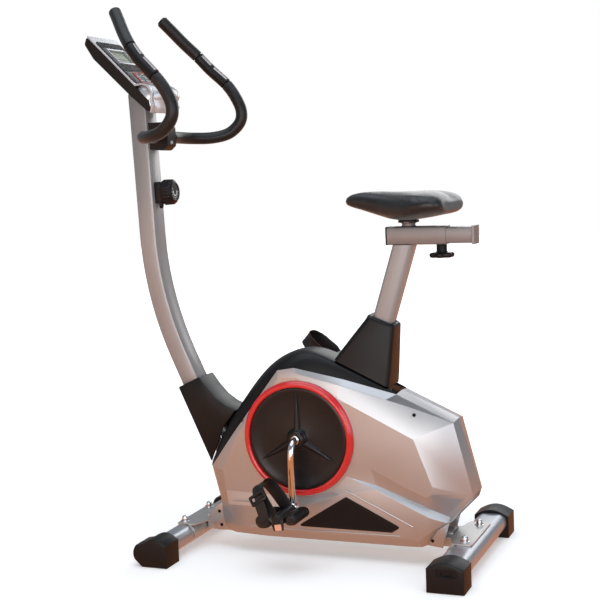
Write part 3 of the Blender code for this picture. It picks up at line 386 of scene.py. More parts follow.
# ---------------------------------------------------------------- transport wheels
# Small moulded wheels with a rounded tread and a dished hub, loose on a stub that is
# moulded in the cap.
tread = surface("moulded_wheel_rubber", ("161617", "232326"), 0.02, 0.0015, 0.00004, (0.5, 0.7), True)
for word, side in SIDES:
    r, h = WHEEL_RADIUS, 0.009
    profile = [(0.0045, h), (0.009, h), (0.0105, h - 0.003), (r - 0.0075, h - 0.003), (r - 0.006, h - 0.0005),
        (r - 0.004, h), (r - 0.0018, h - 0.0012), (r - 0.0004, h - 0.004), (r, 0), (r - 0.0004, 0.004 - h),
        (r - 0.0018, 0.0012 - h), (r - 0.004, -h), (r - 0.006, 0.0005 - h), (r - 0.0075, 0.003 - h),
        (0.0105, 0.003 - h), (0.009, -h), (0.0045, -h)]
    finish(f"transport_wheel_{word}_finished", placed(turn(profile, 48), (side * WHEEL_X, WHEEL_Y, WHEEL_Z),
        TURN_LEFT), tread, word + "_wheel", ["transport_wheel_" + word])


# ---------------------------------------------------------------- base frame
# A rectangular steel tube with pressed saddle brackets welded on its ends. Each bracket
# lies on its stabiliser and hooks down the side that faces the frame.
PLATE_TOP, HOOK = 0.0663, 0.003
bracket_paint = surface("silver_powder_coated_bracket", ("a8a7a6", "b5b3b1"), 0.06, 0.0009, 0.00004, (0.3, 0.4),
    Metallic=0.6, Coat_Weight=0.2, Coat_Roughness=0.2)
refined("base_frame", bracket_paint, "frame", 0.0012)
for end, y, tube, facing in (("rear", REAR_Y, REAR_TUBE, -1), ("front", FRONT_Y, FRONT_TUBE, 1)):
    bend = TUBE_HEIGHT / 2 + 0.0004
    centre = y + facing * (tube / 2 - TUBE_HEIGHT / 2)
    rings = []
    for k in range(17):
        slope = radians(-6 + 121 * k / 16)
        width = 0.098 - 0.012 * max(0.0, (k - 13) / 3) ** 2
        inner, outer = bend, bend + HOOK
        near = (centre + facing * inner * sin(slope), TUBE_Z + inner * cos(slope))
        far = (centre + facing * outer * sin(slope), TUBE_Z + outer * cos(slope))
        rings.append([(-width, *near), (width, *near), (width, *far), (-width, *far)])
    finish(f"{end}_bracket_hook", skin(rings), bracket_paint, "frame", (), 50, 0.0008)


# ---------------------------------------------------------------- carriage bolts
# Chrome-plated dome nuts on flat washers, two on each bracket, run down on carriage
# bolts. One tree sets a head on each point of a mesh, all facing one given way and turned about it.
def spread(name, points, head, mat, body, size=1.0, normal=(0, 0, 1), spin=0.0):
    """A copy of one head on each point, as a single plain mesh."""
    anchor = bpy.data.meshes.new(name)
    anchor.from_pydata([tuple(p) for p in points], [], [])
    holder, sample = linked(name + "_points", anchor), linked(name + "_sample", head)
    tree = bpy.data.node_groups.new(name + "_layout", "GeometryNodeTree")
    for label, kind in (("Geometry", "NodeSocketGeometry"), ("Head", "NodeSocketObject"),
            ("Size", "NodeSocketFloat"), ("Facing", "NodeSocketVector"), ("Spin", "NodeSocketFloat"),
            ("Finish", "NodeSocketMaterial")):
        tree.interface.new_socket(label, in_out="INPUT", socket_type=kind)
    tree.interface.new_socket("Geometry", in_out="OUTPUT", socket_type="NodeSocketGeometry")
    entry = add(tree, "NodeGroupInput").outputs
    facing = add(tree, "FunctionNodeAlignEulerToVector", {"Vector": entry["Facing"]}, axis="Z")
    spun = add(tree, "ShaderNodeCombineXYZ", {"Z": entry["Spin"]})
    whole = add(tree, "FunctionNodeRotateEuler", {"Rotation": facing.outputs[0], "Rotate By": spun.outputs[0]},
        space="LOCAL")
    picked = add(tree, "GeometryNodeObjectInfo", {"Object": entry["Head"]})
    copies = add(tree, "GeometryNodeInstanceOnPoints", {"Points": entry["Geometry"], "Scale": entry["Size"],
        "Instance": picked.outputs["Geometry"], "Rotation": whole.outputs[0]})
    real = add(tree, "GeometryNodeRealizeInstances", {"Geometry": copies.outputs[0]})
    coated = add(tree, "GeometryNodeSetMaterial", {"Geometry": real.outputs[0], "Material": entry["Finish"]})
    add(tree, "NodeGroupOutput", {0: coated.outputs[0]})
    layout = holder.modifiers.new("layout", "NODES")
    layout.node_group = tree
    settings = {"Head": sample, "Size": size, "Facing": tuple(normal), "Spin": spin, "Finish": mat}
    for item in tree.interface.items_tree:
        if item.in_out == "INPUT" and item.name in settings:
            layout[item.identifier] = settings[item.name]
    graph = bpy.context.evaluated_depsgraph_get()
    mesh = bpy.data.meshes.new_from_object(holder.evaluated_get(graph))
    bpy.data.objects.remove(holder)
    bpy.data.objects.remove(sample)
    finish(name, mesh, mat, body)


chrome = surface("bright_chrome_plate", ("cfd1d4", "d9dbde"), 0.08, 0.004, 0.00002, (0.06, 0.13), Metallic=1.0)
washer = turn([(0, 0.0), (0.0115, 0.0), (0.0115, 0.0012), (0.0108, 0.0016), (0, 0.0016)], 32)
flats = worked(placed(prism(round_section(0.0085, 6), 0.007), (0, 0, 0.0051)), modifiers=bevel(0.0006))
DOME_RADIUS, DOME_RISE, FLATS_TOP = 0.0074, 0.0062, 0.008
dome = turn([(0, FLATS_TOP)] + [(DOME_RADIUS * cos(radians(t)),
    FLATS_TOP + DOME_RISE * sin(radians(t))) for t in range(0, 90, 12)] + [(0, FLATS_TOP + DOME_RISE)], 32)
dome_nut = joined(washer, flats, dome)
bolt_places = [(side * 0.072, y, PLATE_TOP) for side in (1, -1) for y in (-0.282, 0.455)]
spread("bracket_dome_nuts", bolt_places, dome_nut, chrome, "frame", spin=0.4)


# ---------------------------------------------------------------- housing halves
# Two moulded ABS shells, screwed together along the centre and sprayed with metallic
# silver lacquer. Flat facets meet in rounded creases: a tan-reflecting side panel, a
# bulge with a ledge low down, and screw tabs at front and rear.
SIDE_X, WALL = 0.08, 0.0025
CRANK_Y, CRANK_Z = 0.045, 0.298
# the left half's corners in millimetres: name, x, y and z, with no x where it is on the flat side
CORNERS = {}
for entry in (
        # along the black cover, then down the centre seam at the rear
        "t0 66 -200 214; t1 74 -138 296; t2 74 -64 392; t3 74 -8 464; t4 74 36 471; t5 60 160 443; "
        "t6 45 287 408; s6 0.9 289 412; s7 0.9 429.5 348.5; s8 0.9 480 178; s85 0.9 474 160; s9 0.9 409 94; "
        # bright crease below the cover, round the rear corner and down
        "l4 78 42 457.5; l5 73.5 154 430.5; l6 62 265 397; l7 56 333 376.5; c2 45 426.5 343; l8 45 470.5 169.5; "
        # flat side panel
        "b0 78 -165 205; b1 -126 288; b2 -52 384; b3 -4 446; b4 42 448.5; b5 145 402; c1 337 307; p1 381 194; "
        "p2 379 176; p3 366 166; p5 315 188; p6 229 230; p7 188 232; r0 166 208; u4 128 168; u3 45 149; "
        "u2 -50 152; u0 79 -158 155; "
        # valley under the panel and the ridge of the bulge's ledge
        "v2 75.5 240 189; v3 72 312 160; v4 69 374 136; v5 65 419 119; r2 88 243 182; r3 90 314 149; "
        "r4 90 375 122; r5 85 417 111; w 50 410 99; "
        # lower bulge, its bottom crease and bottom edge
        "n0 83 -150 120; n1 87 -50 122; n2 88 45 128; n3 88 150 164; k0 82 -136 66; k1 88 -50 64; k2 88 45 64; "
        "k3 88 160 65; k4 88 243 66; k5 88 314 66; k6 86 346 61; e1 86 384 92; q0 72 -136 46; q1 79 -50 45; "
        "q2 79 45 45; q3 79 160 45; q4 79 243 45; q5 79 314 45; q6 76 350 45; i5 58 414 103; i1 58 388 86; "
        "i6 58 358 45; f1 58 -182 125; f2 52 -180 66; f3 58 -160 46").split("; "):
    key, *sizes = entry.split()
    place = [float(size) / 1000 for size in sizes]
    CORNERS[key] = tuple([SIDE_X] * (3 - len(place)) + place)
FACETS = """t0 t1 b1 b0; t1 t2 b2 b1; t2 t3 b3 b2; t3 t4 l4 b3; b3 l4 b4; t4 t5 l5 l4; t5 t6 l6 l5; t6 s6 s7 c2 l7 l6;
l4 l5 b5 b4; l5 l6 l7 c2 c1 b5; c2 s7 s8 l8; l8 s8 s85 s9 w; c1 c2 l8 p1; p1 l8 p2; p2 l8 w v5 v4; p2 v4 p3;
p3 v4 v3 p5; p5 v3 v2 p6; p6 v2 r0 p7; b0 b1 b2 b3 b4 b5 c1 p1 p2 p3 p5 p6 p7 r0 u4 u3 u2 u0;
r0 v2 r2; v2 v3 r3 r2; v3 v4 r4 r3; v4 v5 r5 r4; v5 w i5 r5; t0 b0 u0 f1; f1 u0 n0; u0 u2 n1 n0; u2 u3 n2 n1;
u3 u4 n3 n2; u4 r0 r2 n3; f1 n0 k0 f2; n0 n1 k1 k0; n1 n2 k2 k1; n2 n3 k3 k2; n3 r2 k4 k3; r2 r3 k5 k4;
r3 r4 e1 k6 k5; r4 r5 e1; f2 k0 q0 f3; k0 k1 q1 q0; k1 k2 q2 q1; k2 k3 q3 q2; k3 k4 q4 q3; k4 k5 q5 q4;
k5 k6 q6 q5; r5 i5 i1 e1; e1 i1 i6 q6 k6"""
CREASE_ROUND = 0.0034
FRONT_TAB = [(-0.172, 0.124), (-0.196, 0.108), (-0.226, 0.074), (-0.198, 0.043), (-0.146, 0.046), (-0.15, 0.09)]
REAR_TAB = [(0.404, 0.108), (0.414, 0.102), (0.397, 0.041), (0.352, 0.046), (0.35, 0.075), (0.375, 0.094)]

lacquer = surface("sprayed_silver_lacquer", ("a9a9ab", "b0b0b2"), 0.15, 0.0008, 0.00002, (0.31, 0.37), Metallic=0.8,
    Coat_Weight=0.22, Coat_Roughness=0.16)


def flowing(points, per=6):
    """Points on a smooth curve through the given ones."""
    points = [Vector(point) for point in points]
    ends = [2 * points[0] - points[1], *points, 2 * points[-1] - points[-2]]
    path = []
    for i in range(1, len(ends) - 2):
        a, b, c, d = ends[i - 1:i + 3]
        for k in range(per):
            t = k / per
            path.append(0.5 * (2 * b + (c - a) * t + (2 * a - 5 * b + 4 * c - d) * t ** 2 + (3 * b - a - 3 * c + d)
                * t ** 3))
    return path + [points[-1]]


def outward(bm, centre):
    """The mesh of an open surface whose faces look away from a point behind it."""
    bmesh.ops.recalc_face_normals(bm, faces=bm.faces)
    centre = Vector(centre)
    if sum(face.calc_area() * face.normal.dot(face.calc_center_median() - centre) for face in bm.faces) < 0:
        bmesh.ops.reverse_faces(bm, faces=bm.faces)
    mesh = bpy.data.meshes.new("surface")
    bm.to_mesh(mesh)
    bm.free()
    return mesh


def shell_half(side):
    bm = bmesh.new()
    corner = {key: bm.verts.new((side * x, y, z)) for key, (x, y, z) in CORNERS.items()}
    for facet in FACETS.split(";"):
        bm.faces.new([corner[key] for key in facet.split()])
    mesh = outward(bm, (0, 0.15, 0.25))
    easing = bevel(CREASE_ROUND, 3, limit_method="ANGLE", angle_limit=radians(7))
    mesh = worked(mesh, modifiers=easing + [("SOLIDIFY", {"thickness": WALL, "offset": -1})])
    hole = placed(turn([(0, 0.02), (0.022, 0.02), (0.022, -0.02), (0, -0.02)], 40),
        (side * SIDE_X, CRANK_Y, CRANK_Z), TURN_LEFT)
    shell = worked(mesh, hole)
    tabs = []
    for outline, x in ((FRONT_TAB, 0.052), (REAR_TAB, 0.057)):
        tabs.append(worked(placed(prism(outline, 0.003), (side * x, 0, 0), ALONG_X), modifiers=bevel(0.0008, 2)))
    # moulded beads: beside the vent, across the front, and along the bottom crease
    for line in (((0.0884, 0.166, 0.1745), (0.0893, 0.25, 0.136), (0.0885, 0.334, 0.0955)),
            ((0.08, -0.148, 0.131), (0.0858, -0.1, 0.1325), (0.0872, -0.052, 0.1325)),
            ((0.0862, -0.09, 0.069), (0.0884, -0.02, 0.069), (0.0884, 0.3, 0.0712))):
        rings = []
        for x, y, z in flowing(line, 6):
            rings.append([(side * (x + 0.0013 * sin(radians(t))), y, z + 0.0022 * cos(radians(t))) for t in range(0,
                360, 30)])
        tabs.append(skin(rings))
    return joined(shell, *tabs)


for word, side in SIDES:
    finish(f"housing_{word}_finished", shell_half(side), lacquer, "frame",
        ["housing_" + word], 24)

# black pan-head screws, sunk in the shells and on the tabs
screw_black = surface("blackened_steel_screw", ("101011", "1a1a1c"), 0.01, 0.0006, 0.00003, (0.35, 0.5),
    Metallic=0.8)
pan_head = turn([(0, 0.0006), (0.0016, 0.0006), (0.0019, 0.0017), (0.0036, 0.0015), (0.0042, 0.0006),
    (0.0042, -0.001), (0, -0.001)], 16)
for word, side in SIDES:
    spots = [(side * 0.0535, -0.192, 0.092), (side * 0.0535, -0.187, 0.057), (side * 0.0585, 0.388, 0.09),
        (side * 0.0585, 0.372, 0.057), (side * 0.0652, 0.336, 0.3632), (side * 0.0772, -0.112, 0.335)]
    spread(f"housing_screws_{word}", spots, pan_head, screw_black, "frame", 1, (side, 0, 0))


# ---------------------------------------------------------------- vent grilles
# Black moulded triangles clipped into the bulge, pierced with small round holes.
moulded = surface("spark_textured_black_abs", ("0a0a0b", "101012"), 0.05, 0.0011, 0.00005, (0.32, 0.46),
    Specular_IOR_Level=0.24)
VENT_X, VENT_PITCH = 0.0886, 0.0062
VENT = [(0.036, 0.079), (0.28, 0.079), (0.302, 0.093), (0.166, 0.16)]


def eased(corners, radius, steps=4):
    """The outline with its corners turned to arcs."""
    outline = []
    for i, corner in enumerate(corners):
        here = Vector(corner)
        back_way = (Vector(corners[i - 1]) - here).normalized()
        on_way = (Vector(corners[(i + 1) % len(corners)]) - here).normalized()
        half = back_way.angle(on_way) / 2
        reach = radius / tan(half)
        start, end = here + back_way * reach, here + on_way * reach
        for k in range(steps + 1):
            t = k / steps
            outline.append(tuple((1 - t) ** 2 * start + 2 * t * (1 - t) * here + t ** 2 * end))
    return outline


def inside(point, outline, margin):
    """Whether a point is in a convex outline, at least a margin from its edges."""
    for i, corner in enumerate(outline):
        a, b = Vector(corner), Vector(outline[(i + 1) % len(outline)])
        edge = (b - a).normalized()
        if edge.x * (point[1] - a.y) - edge.y * (point[0] - a.x) < margin:
            return False
    return True


hole_rim = turn([(0.0016, 0.0), (0.0024, 0.0), (0.0023, 0.0007), (0.0017, 0.0007)], 8)
for word, side in SIDES:
    plate = placed(prism(eased(VENT, 0.005), 0.0024), (side * VENT_X, 0, 0), ALONG_X)
    finish(f"vent_grille_{word}_finished", plate, moulded, "frame", ["vent_grille_" + word], 35,
        0.0007)
    spots = []
    for row in range(20):
        for column in range(50):
            y, z = 0.03 + VENT_PITCH * (column + 0.5 * (row % 2)), 0.076 + VENT_PITCH * 0.866 * row
            if inside((y, z), VENT, 0.0055):
                spots.append((side * (VENT_X + 0.0011), y, z))
    spread(f"vent_perforations_{word}", spots, hole_rim, moulded, "frame", 1, (side, 0, 0))


# ---------------------------------------------------------------- red trim rings
# Glossy red ABS, moulded through in colour: a rounded outer lip, a step, and a darker
# inner wall that drops towards the disc.
RING = 0.143
red_gloss = surface("glossy_red_abs", ("b2151a", "bd1b1f"), 0.05, 0.003, 0.00001, (0.16, 0.24), Coat_Weight=0.6,
    Coat_Roughness=0.06, Subsurface_Weight=0.0)
ring_profile = [(RING - 0.0155, 0.012), (RING - 0.014, 0.0138), (RING - 0.0118, 0.0148), (RING - 0.0085, 0.015),
    (RING - 0.007, 0.0142), (RING - 0.006, 0.0118), (RING - 0.0045, 0.0108), (RING - 0.0022, 0.0098),
    (RING - 0.0006, 0.007), (RING, 0.003), (RING, 0.0), (RING - 0.0155, 0.0)]
for word, side in SIDES:
    finish(f"trim_ring_{word}_finished", placed(turn(ring_profile, 128), (side * (SIDE_X + 0.0003), CRANK_Y,
        CRANK_Z), TURN_LEFT if side > 0 else TURN_RIGHT), red_gloss, "frame", ["trim_ring_" + word], 40)


# ---------------------------------------------------------------- crank discs
# Black ABS dishes that turn with the crank. Three tapering ribs run from the domed hub
# cap to the rim, and a rolled edge stiffens the rim.
disc_black = surface("satin_black_abs_disc", ("101012", "161618"), 0.07, 0.0016, 0.00003, (0.24, 0.36),
    Specular_IOR_Level=0.34)
disc_profile = [(0.0117, 0.0235), (0.015, 0.0238), (0.0172, 0.023), (0.0195, 0.0205), (0.0212, 0.018),
    (0.0224, 0.015), (0.0236, 0.014), (0.025, 0.012), (0.0262, 0.0085), (0.029, 0.0062), (0.04, 0.0046),
    (0.065, 0.0036), (0.095, 0.004), (0.108, 0.0056), (0.116, 0.008), (0.1195, 0.0088), (0.1235, 0.0088),
    (0.126, 0.0078), (0.1265, 0.0062), (0.1255, 0.0054), (0.118, 0.0055), (0.099, 0.0018), (0.055, 0.0012),
    (0.0117, 0.0012)]


def disc_rib(turned):
    """A rib that is tall and broad at the hub and runs out before the rim."""
    rings = []
    for share, half, top in ((0.0, 0.0085, 0.0135), (0.25, 0.0068, 0.0115), (0.55, 0.0048, 0.0092),
            (0.85, 0.0026, 0.0078), (1.0, 0.0006, 0.0062)):
        reach = 0.02 + 0.094 * share
        rings.append([(reach, -half * 1.5, 0.002), (reach, -half * 0.5, top), (reach, 0, top + 0.0007),
            (reach, half * 0.5, top), (reach, half * 1.5, 0.002)])
    return placed(skin(rings), rotation=(0, 0, turned))


for word, side in SIDES:
    ribs = [disc_rib(radians(180 + 120 * k)) for k in range(3)]
    disc = joined(turn(disc_profile, 96), *ribs)
    finish(f"crank_disc_{word}_finished", placed(disc, (side * (SIDE_X + 0.0015), CRANK_Y, CRANK_Z),
        TURN_LEFT if side > 0 else TURN_RIGHT), disc_black, "crankset", ["crank_disc_" + word], 28)


# ---------------------------------------------------------------- crank
# A one-piece forged crank, polished and chrome plated: a round bar bent at each end,
# with a flattened eye that the pedal spindle screws into.
CRANK_LENGTH, CRANK_ARM_X, SPINDLE_END = 0.16, 0.137, 0.243


def along(path, section):
    """A skin that carries a flat section along a path without twisting; the section may
    be a function of the share of the path covered."""
    path = [Vector(point) for point in path]
    heading = (path[1] - path[0]).normalized()
    sideways = heading.orthogonal().normalized()
    rings = []
    for i, point in enumerate(path):
        ahead = (path[min(i + 1, len(path) - 1)] - path[max(i - 1, 0)]).normalized()
        sideways = heading.rotation_difference(ahead) @ sideways
        heading = ahead
        other = heading.cross(sideways)
        outline = section(i / (len(path) - 1)) if callable(section) else section
        rings.append([tuple(point + sideways * a + other * b) for a, b in outline])
    return skin(rings)


def barrel(radius, length, ease=0.001, sides=32):
    """A round bar's end piece, its rims eased."""
    half = length / 2
    return turn([(0, half), (radius - ease, half), (radius, half - ease), (radius, ease - half),
        (radius - ease, -half), (0, -half)], sides)


bend = [(0.0, 0, 0), (0.06, 0, 0), (0.1, 0, -0.0002), (0.112, 0, -0.0008), (0.121, 0, -0.004), (0.129, 0, -0.0115),
    (0.134, 0, -0.022), (0.1362, 0, -0.036), (0.137, 0, -0.052), (0.137, 0, -0.1), (0.137, 0, -0.148)]
crank_parts = []
for side in (1, -1):
    arm = along(flowing([(side * x, y, side * z) for x, y, z in bend], 4), round_section(0.0085))
    eye = placed(barrel(0.0135, 0.018, 0.002), (side * CRANK_ARM_X, 0, -side * CRANK_LENGTH), TURN_LEFT)
    middle = (CRANK_ARM_X + SPINDLE_END) / 2
    spindle = placed(barrel(0.007, SPINDLE_END - CRANK_ARM_X, 0.001), (side * middle, 0, -side * CRANK_LENGTH),
        TURN_LEFT)
    boss = placed(barrel(0.011, 0.034, 0.0012), (side * 0.093, 0, 0), TURN_LEFT)
    crank_parts += [arm, eye, spindle, boss]
crank_parts.append(placed(barrel(0.011, 0.16), (0, 0, 0), TURN_LEFT))
finish("crank_finished", placed(joined(*crank_parts), (0, CRANK_Y, CRANK_Z)), chrome, "crankset",
    ["crank"], 40)


# ---------------------------------------------------------------- pedals
# Two-part black moulded treads on a web round the spindle, each bar domed and ribbed for
# grip, with an end skirt that carries a reflector. A rubber strap hooks on both ends.
PEDAL_X, PEDAL_TILT, PEDAL_LENGTH, RIB_PITCH = 0.196, radians(8), 0.088, 0.0092
pedal_rubber = surface("moulded_pedal_rubber", ("101011", "19191b"), 0.02, 0.0013, 0.00005, (0.34, 0.5),
    Specular_IOR_Level=0.34)
reflector = surface("moulded_amber_reflector", ("c98468", "d39a7d"), 0.01, 0.0012, 0.00005, (0.18, 0.3), True,
    Coat_Weight=0.5)


def capsule(front, rear, drop, radius, steps=10):
    """A bar's outline with round ends, as (along, up)."""
    return arc(radius, 90, 270, (front, drop), steps) + arc(radius, -90, 90, (rear, drop), steps)


for word, side in SIDES:
    hub_y, hub_z = CRANK_Y, CRANK_Z - side * CRANK_LENGTH
    lay = Matrix.Translation((side * PEDAL_X, hub_y, hub_z)) @ Matrix.Rotation(PEDAL_TILT, 4, "X")
    parts = []
    for middle, shift, reach in ((-0.037, -0.005, 0.0165), (0.034, -0.007, 0.013)):
        rows = []
        for share in (-1.0, -0.97, -0.9, -0.5, 0.0, 0.5, 0.9, 0.97, 1.0):
            swell = (1 - 0.35 * max(0.0, abs(share) - 0.9) / 0.1) * (1 - 0.06 * share * share)
            rows.append([(share * PEDAL_LENGTH / 2, a, b) for a, b in capsule(middle - 0.004, middle + 0.004, shift,
                (reach - 0.002) * swell)])
        parts.append(skin(rows))
        for k in range(9):
            x = (k - 4) * RIB_PITCH
            parts.append(skin([[(x + half_rib, middle + a * 1.08, shift + b * 1.06) for a,
                b in capsule(-0.004, 0.004, 0, reach - 0.0012)] for half_rib in (0.0012, -0.0012)]))
    web = [(0.038, a, b) for a, b in capsule(-0.034, 0.03, -0.006, 0.0072)]
    parts.append(skin([web, [(-x, y, z) for x, y, z in web]]))
    parts.append(placed(barrel(0.0145, PEDAL_LENGTH, 0.002), (0, 0, -0.004), TURN_LEFT))
    parts.append(placed(barrel(0.0105, 0.01, 0.0025), (side * (PEDAL_LENGTH / 2 + 0.0005), 0, 0), TURN_LEFT))
    skirt = [(-0.017, -0.004), (0.017, -0.004), (0.013, -0.029), (-0.012, -0.029)]
    parts.append(placed(worked(prism(skirt, 0.004), modifiers=bevel(0.0012, 2)),
        (side * (PEDAL_LENGTH / 2 - 0.0015), 0, 0), ALONG_X))
    mesh = joined(*parts)
    mesh.transform(lay)
    finish(f"pedal_{word}_finished", mesh, pedal_rubber, word + "_pedal", ["pedal_" + word], 40)
    lens = worked(prism(slab_corners(0.017, 0.015, 0.0025, 4), 0.003), modifiers=bevel(0.0007))
    lens = placed(lens, (side * (PEDAL_LENGTH / 2 + 0.0006), 0.001, -0.0205), ALONG_X)
    lens.transform(lay)
    finish(f"pedal_reflector_{word}", lens, reflector, word + "_pedal", (), 40)

# the strap: a moulded rubber band, thicker along its edges, with a row of adjusting
# holes, hooked over studs at both ends of the pedal
STRAP_WIDTH, STRAP_THICK, STRAP_BACK = 0.034, 0.0022, Vector((0, -0.006, 0))
STRAP_LEAN = {"left": radians(26), "right": radians(42)}     # slumped forward
for word, side in SIDES:
    lay = (Matrix.Translation((side * PEDAL_X, CRANK_Y,
        CRANK_Z - side * CRANK_LENGTH)) @ Matrix.Rotation(PEDAL_TILT, 4, "X"))
    half, rise = PEDAL_LENGTH / 2 + 0.0018, 0.0895
    loop = [(half, -0.01), (half + 0.0008, 0.01), (half, 0.03), (half * 0.93, 0.055), (half * 0.8, 0.073),
        (half * 0.55, 0.0845), (half * 0.22, rise), (-half * 0.22, rise), (-half * 0.55, 0.0845),
        (-half * 0.8, 0.073), (-half * 0.93, 0.055), (-half, 0.03), (-half - 0.0008, 0.01), (-half, -0.01)]
    path = flowing([(x, 0, z) for x, z in loop], 5)
    rings = []
    for i, point in enumerate(path):
        ahead = (path[min(i + 1, len(path) - 1)] - path[max(i - 1, 0)]).normalized()
        out = Vector((ahead.z, 0, -ahead.x))
        ring = []
        for across_share, stand in ((-1, 0.6), (-1, 1.15), (-0.86, 1.25), (-0.78, 0.8), (0.78, 0.8), (0.86, 1.25),
                (1, 1.15), (1, 0.6), (0.9, 0.3), (-0.9, 0.3)):
            narrow = 0.5 + 0.5 * min(1.0, max(0.0, (point.z + 0.012) / 0.03))
            ring.append(tuple(point + out * STRAP_THICK * (stand - 1.0) + STRAP_BACK + Vector((0,
                across_share * STRAP_WIDTH / 2 * narrow, 0))))
        rings.append(ring)
    band = skin(rings)
    buckle = worked(prism(slab_corners(0.044, 0.026, 0.004, 4), 0.006), prism(slab_corners(0.034, 0.012, 0.002, 4),
        0.02), modifiers=bevel(0.001))
    buckle = placed(placed(buckle, rotation=ALONG_X), (side * (half * 0.9 + 0.003), -0.012, 0.062),
        (0, side * -0.3, 0))
    tail_path = flowing([(side * (half * 0.88 + 0.004), -0.014, 0.06), (side * (half + 0.004), -0.014, 0.046),
        (side * (half + 0.0075), -0.018, 0.026), (side * (half + 0.009), -0.024, 0.01)], 4)
    tail = skin([[(p.x + a * side, p.y + b, p.z) for a, b in ((-0.001, -0.014), (0.001, -0.014), (0.001, 0.014),
        (-0.001, 0.014))] for p in tail_path])
    mesh = joined(band, buckle, tail)
    mesh.transform(lay @ Matrix.Translation(STRAP_BACK) @ Matrix.Rotation(STRAP_LEAN[word], 4,
        "X") @ Matrix.Translation(-STRAP_BACK))
    finish(f"pedal_strap_{word}_finished", mesh, pedal_rubber, word + "_pedal",
        ["pedal_strap_" + word], 50, 0.0004, 1)


# ---------------------------------------------------------------- top cover
# A black ABS saddle piece that closes the top of both shells and runs down their front
# edge; it is crowned, and its finish is a fine moulded grain.
def sheet_of(rows, skip):
    """An open surface with sharp borders through rows of points; skip names the cells left open."""
    bm = bmesh.new()
    grid = [[bm.verts.new(point) for point in row] for row in rows]
    for r in range(len(rows) - 1):
        for i in range(len(rows[0]) - 1):
            if (r, i) not in skip:
                bm.faces.new((grid[r][i], grid[r][i + 1], grid[r + 1][i + 1], grid[r + 1][i]))
    loose = [vertex for vertex in bm.verts if not vertex.link_faces]
    bmesh.ops.delete(bm, geom=loose, context="VERTS")
    crease_layer = bm.edges.layers.float.new("crease_edge")
    for edge in bm.edges:
        edge[crease_layer] = 1.0 if edge.is_boundary else 0.0
    return outward(bm, (0, 0.05, 0.2))


RISE = 0.0012
brink = [(x, y - RISE, z + RISE) for x, y, z in (CORNERS[key] for key in ("t0", "t1", "t2", "t3", "t4", "t5",
    "t6"))]
crease = [(0.045, -0.209, 0.221), (0.06, -0.17, 0.303), (0.062, -0.098, 0.398), (0.062, -0.03, 0.474),
    (0.06, 0.06, 0.506), (0.05, 0.128, 0.487), (0.042, 0.274, 0.417)]
crown = [(0.038, -0.211, 0.221), (0.034, -0.174, 0.305), (0.034, -0.104, 0.403), (0.036, -0.042, 0.483),
    (0.036, 0.05, 0.5225), (0.036, 0.125, 0.49), (0.036, 0.274, 0.418)]
ridge = [(0.0, y, z + 0.001) for x, y, z in crown]
half_rows = [brink, crease, crown, ridge]
rows = half_rows + [[(-x, y, z) for x, y, z in row] for row in (crown, crease, brink)]
cover = sheet_of(rows, {(2, 0), (3, 0), (2, 5), (3, 5)})
cover = worked(cover, modifiers=[("SUBSURF", {"levels": 3, "render_levels": 3}),
    ("SOLIDIFY", {"thickness": WALL, "offset": -1})])
finish("top_cover_finished", cover, moulded, "frame", ["top_cover"], 50)


# ---------------------------------------------------------------- boots
# Two moulded black boots: one laps round the foot of the handlebar post, the other
# rises from the cover to a lip round the seat post.
refined("front_shroud", moulded, "frame", 0.0)
SEAT_LEAN, SEAT_Y, SEAT_Z = radians(17.5), 0.251, 0.59


def boot_ring(half, front, rear, radius, steps=5):
    """A rounded rectangle between two (y, z) edges, tilted to pass through both."""
    (yf, zf), (yr, zr) = front, rear
    length = hypot(yr - yf, zr - zf)
    ring = []
    for a, b in slab_corners(2 * half, length, radius, steps):
        share = (b + length / 2) / length
        ring.append((a, yf + (yr - yf) * share, zf + (zr - zf) * share))
    return ring


levels = [(0.0495, (0.131, 0.4895), (0.268, 0.424), 0.012), (0.0465, (0.151, 0.516), (0.272, 0.454), 0.013),
    (0.037, (0.211, 0.5895), (0.2815, 0.564), 0.013), (0.0355, (0.214, 0.5955), (0.282, 0.57), 0.012),
    (0.031, (0.217, 0.5985), (0.2795, 0.5745), 0.01), (0.0275, (0.222, 0.592), (0.274, 0.575), 0.009)]
rings = [boot_ring(half, front, rear, radius) for half, front, rear, radius in levels]
bm = bmesh.new()
bm.from_mesh(skin(rings, False))
boot = worked(outward(bm, (0, 0.22, 0.52)), modifiers=[("SOLIDIFY", {"thickness": 0.0022, "offset": -1})])
PIN_Z = 0.515
PIN_Y = SEAT_Y - (SEAT_Z - PIN_Z) * tan(SEAT_LEAN)
boot = worked(boot, placed(barrel(0.009, 0.04), (-0.045, PIN_Y, PIN_Z), TURN_LEFT))
finish("seat_shroud_finished", boot, moulded, "frame", ["seat_shroud"], 40)


# ---------------------------------------------------------------- handlebar post
# A rectangular steel tube bent to one long radius and silver powder coated; a small
# screw near the top holds the cable inside.
# the coat's colour is the frame's silver drawn darker and warmer: painted shade and a painted warm reflection
shaded_post_paint = surface("silver_powder_coated_post_painted_shade_and_warm_reflection", ("807c7b", "8b8786"), 0.1, 0.0009, 0.00004, (0.3, 0.4),
    Metallic=0.35, Coat_Weight=0.25, Coat_Roughness=0.18)
refined("handlebar_post", shaded_post_paint, "frame", 0.0)
post_screw = turn([(0, 0.0), (0.0045, 0.0), (0.0043, 0.0012), (0.003, 0.0024), (0.0, 0.003)], 20)
POST_DEPTH = 0.0483
spread("post_screw", [(0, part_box("tension_knob_base")[0].y - POST_DEPTH, 0.902)], post_screw, chrome, "frame",
    1, (0, -1, 0.03))
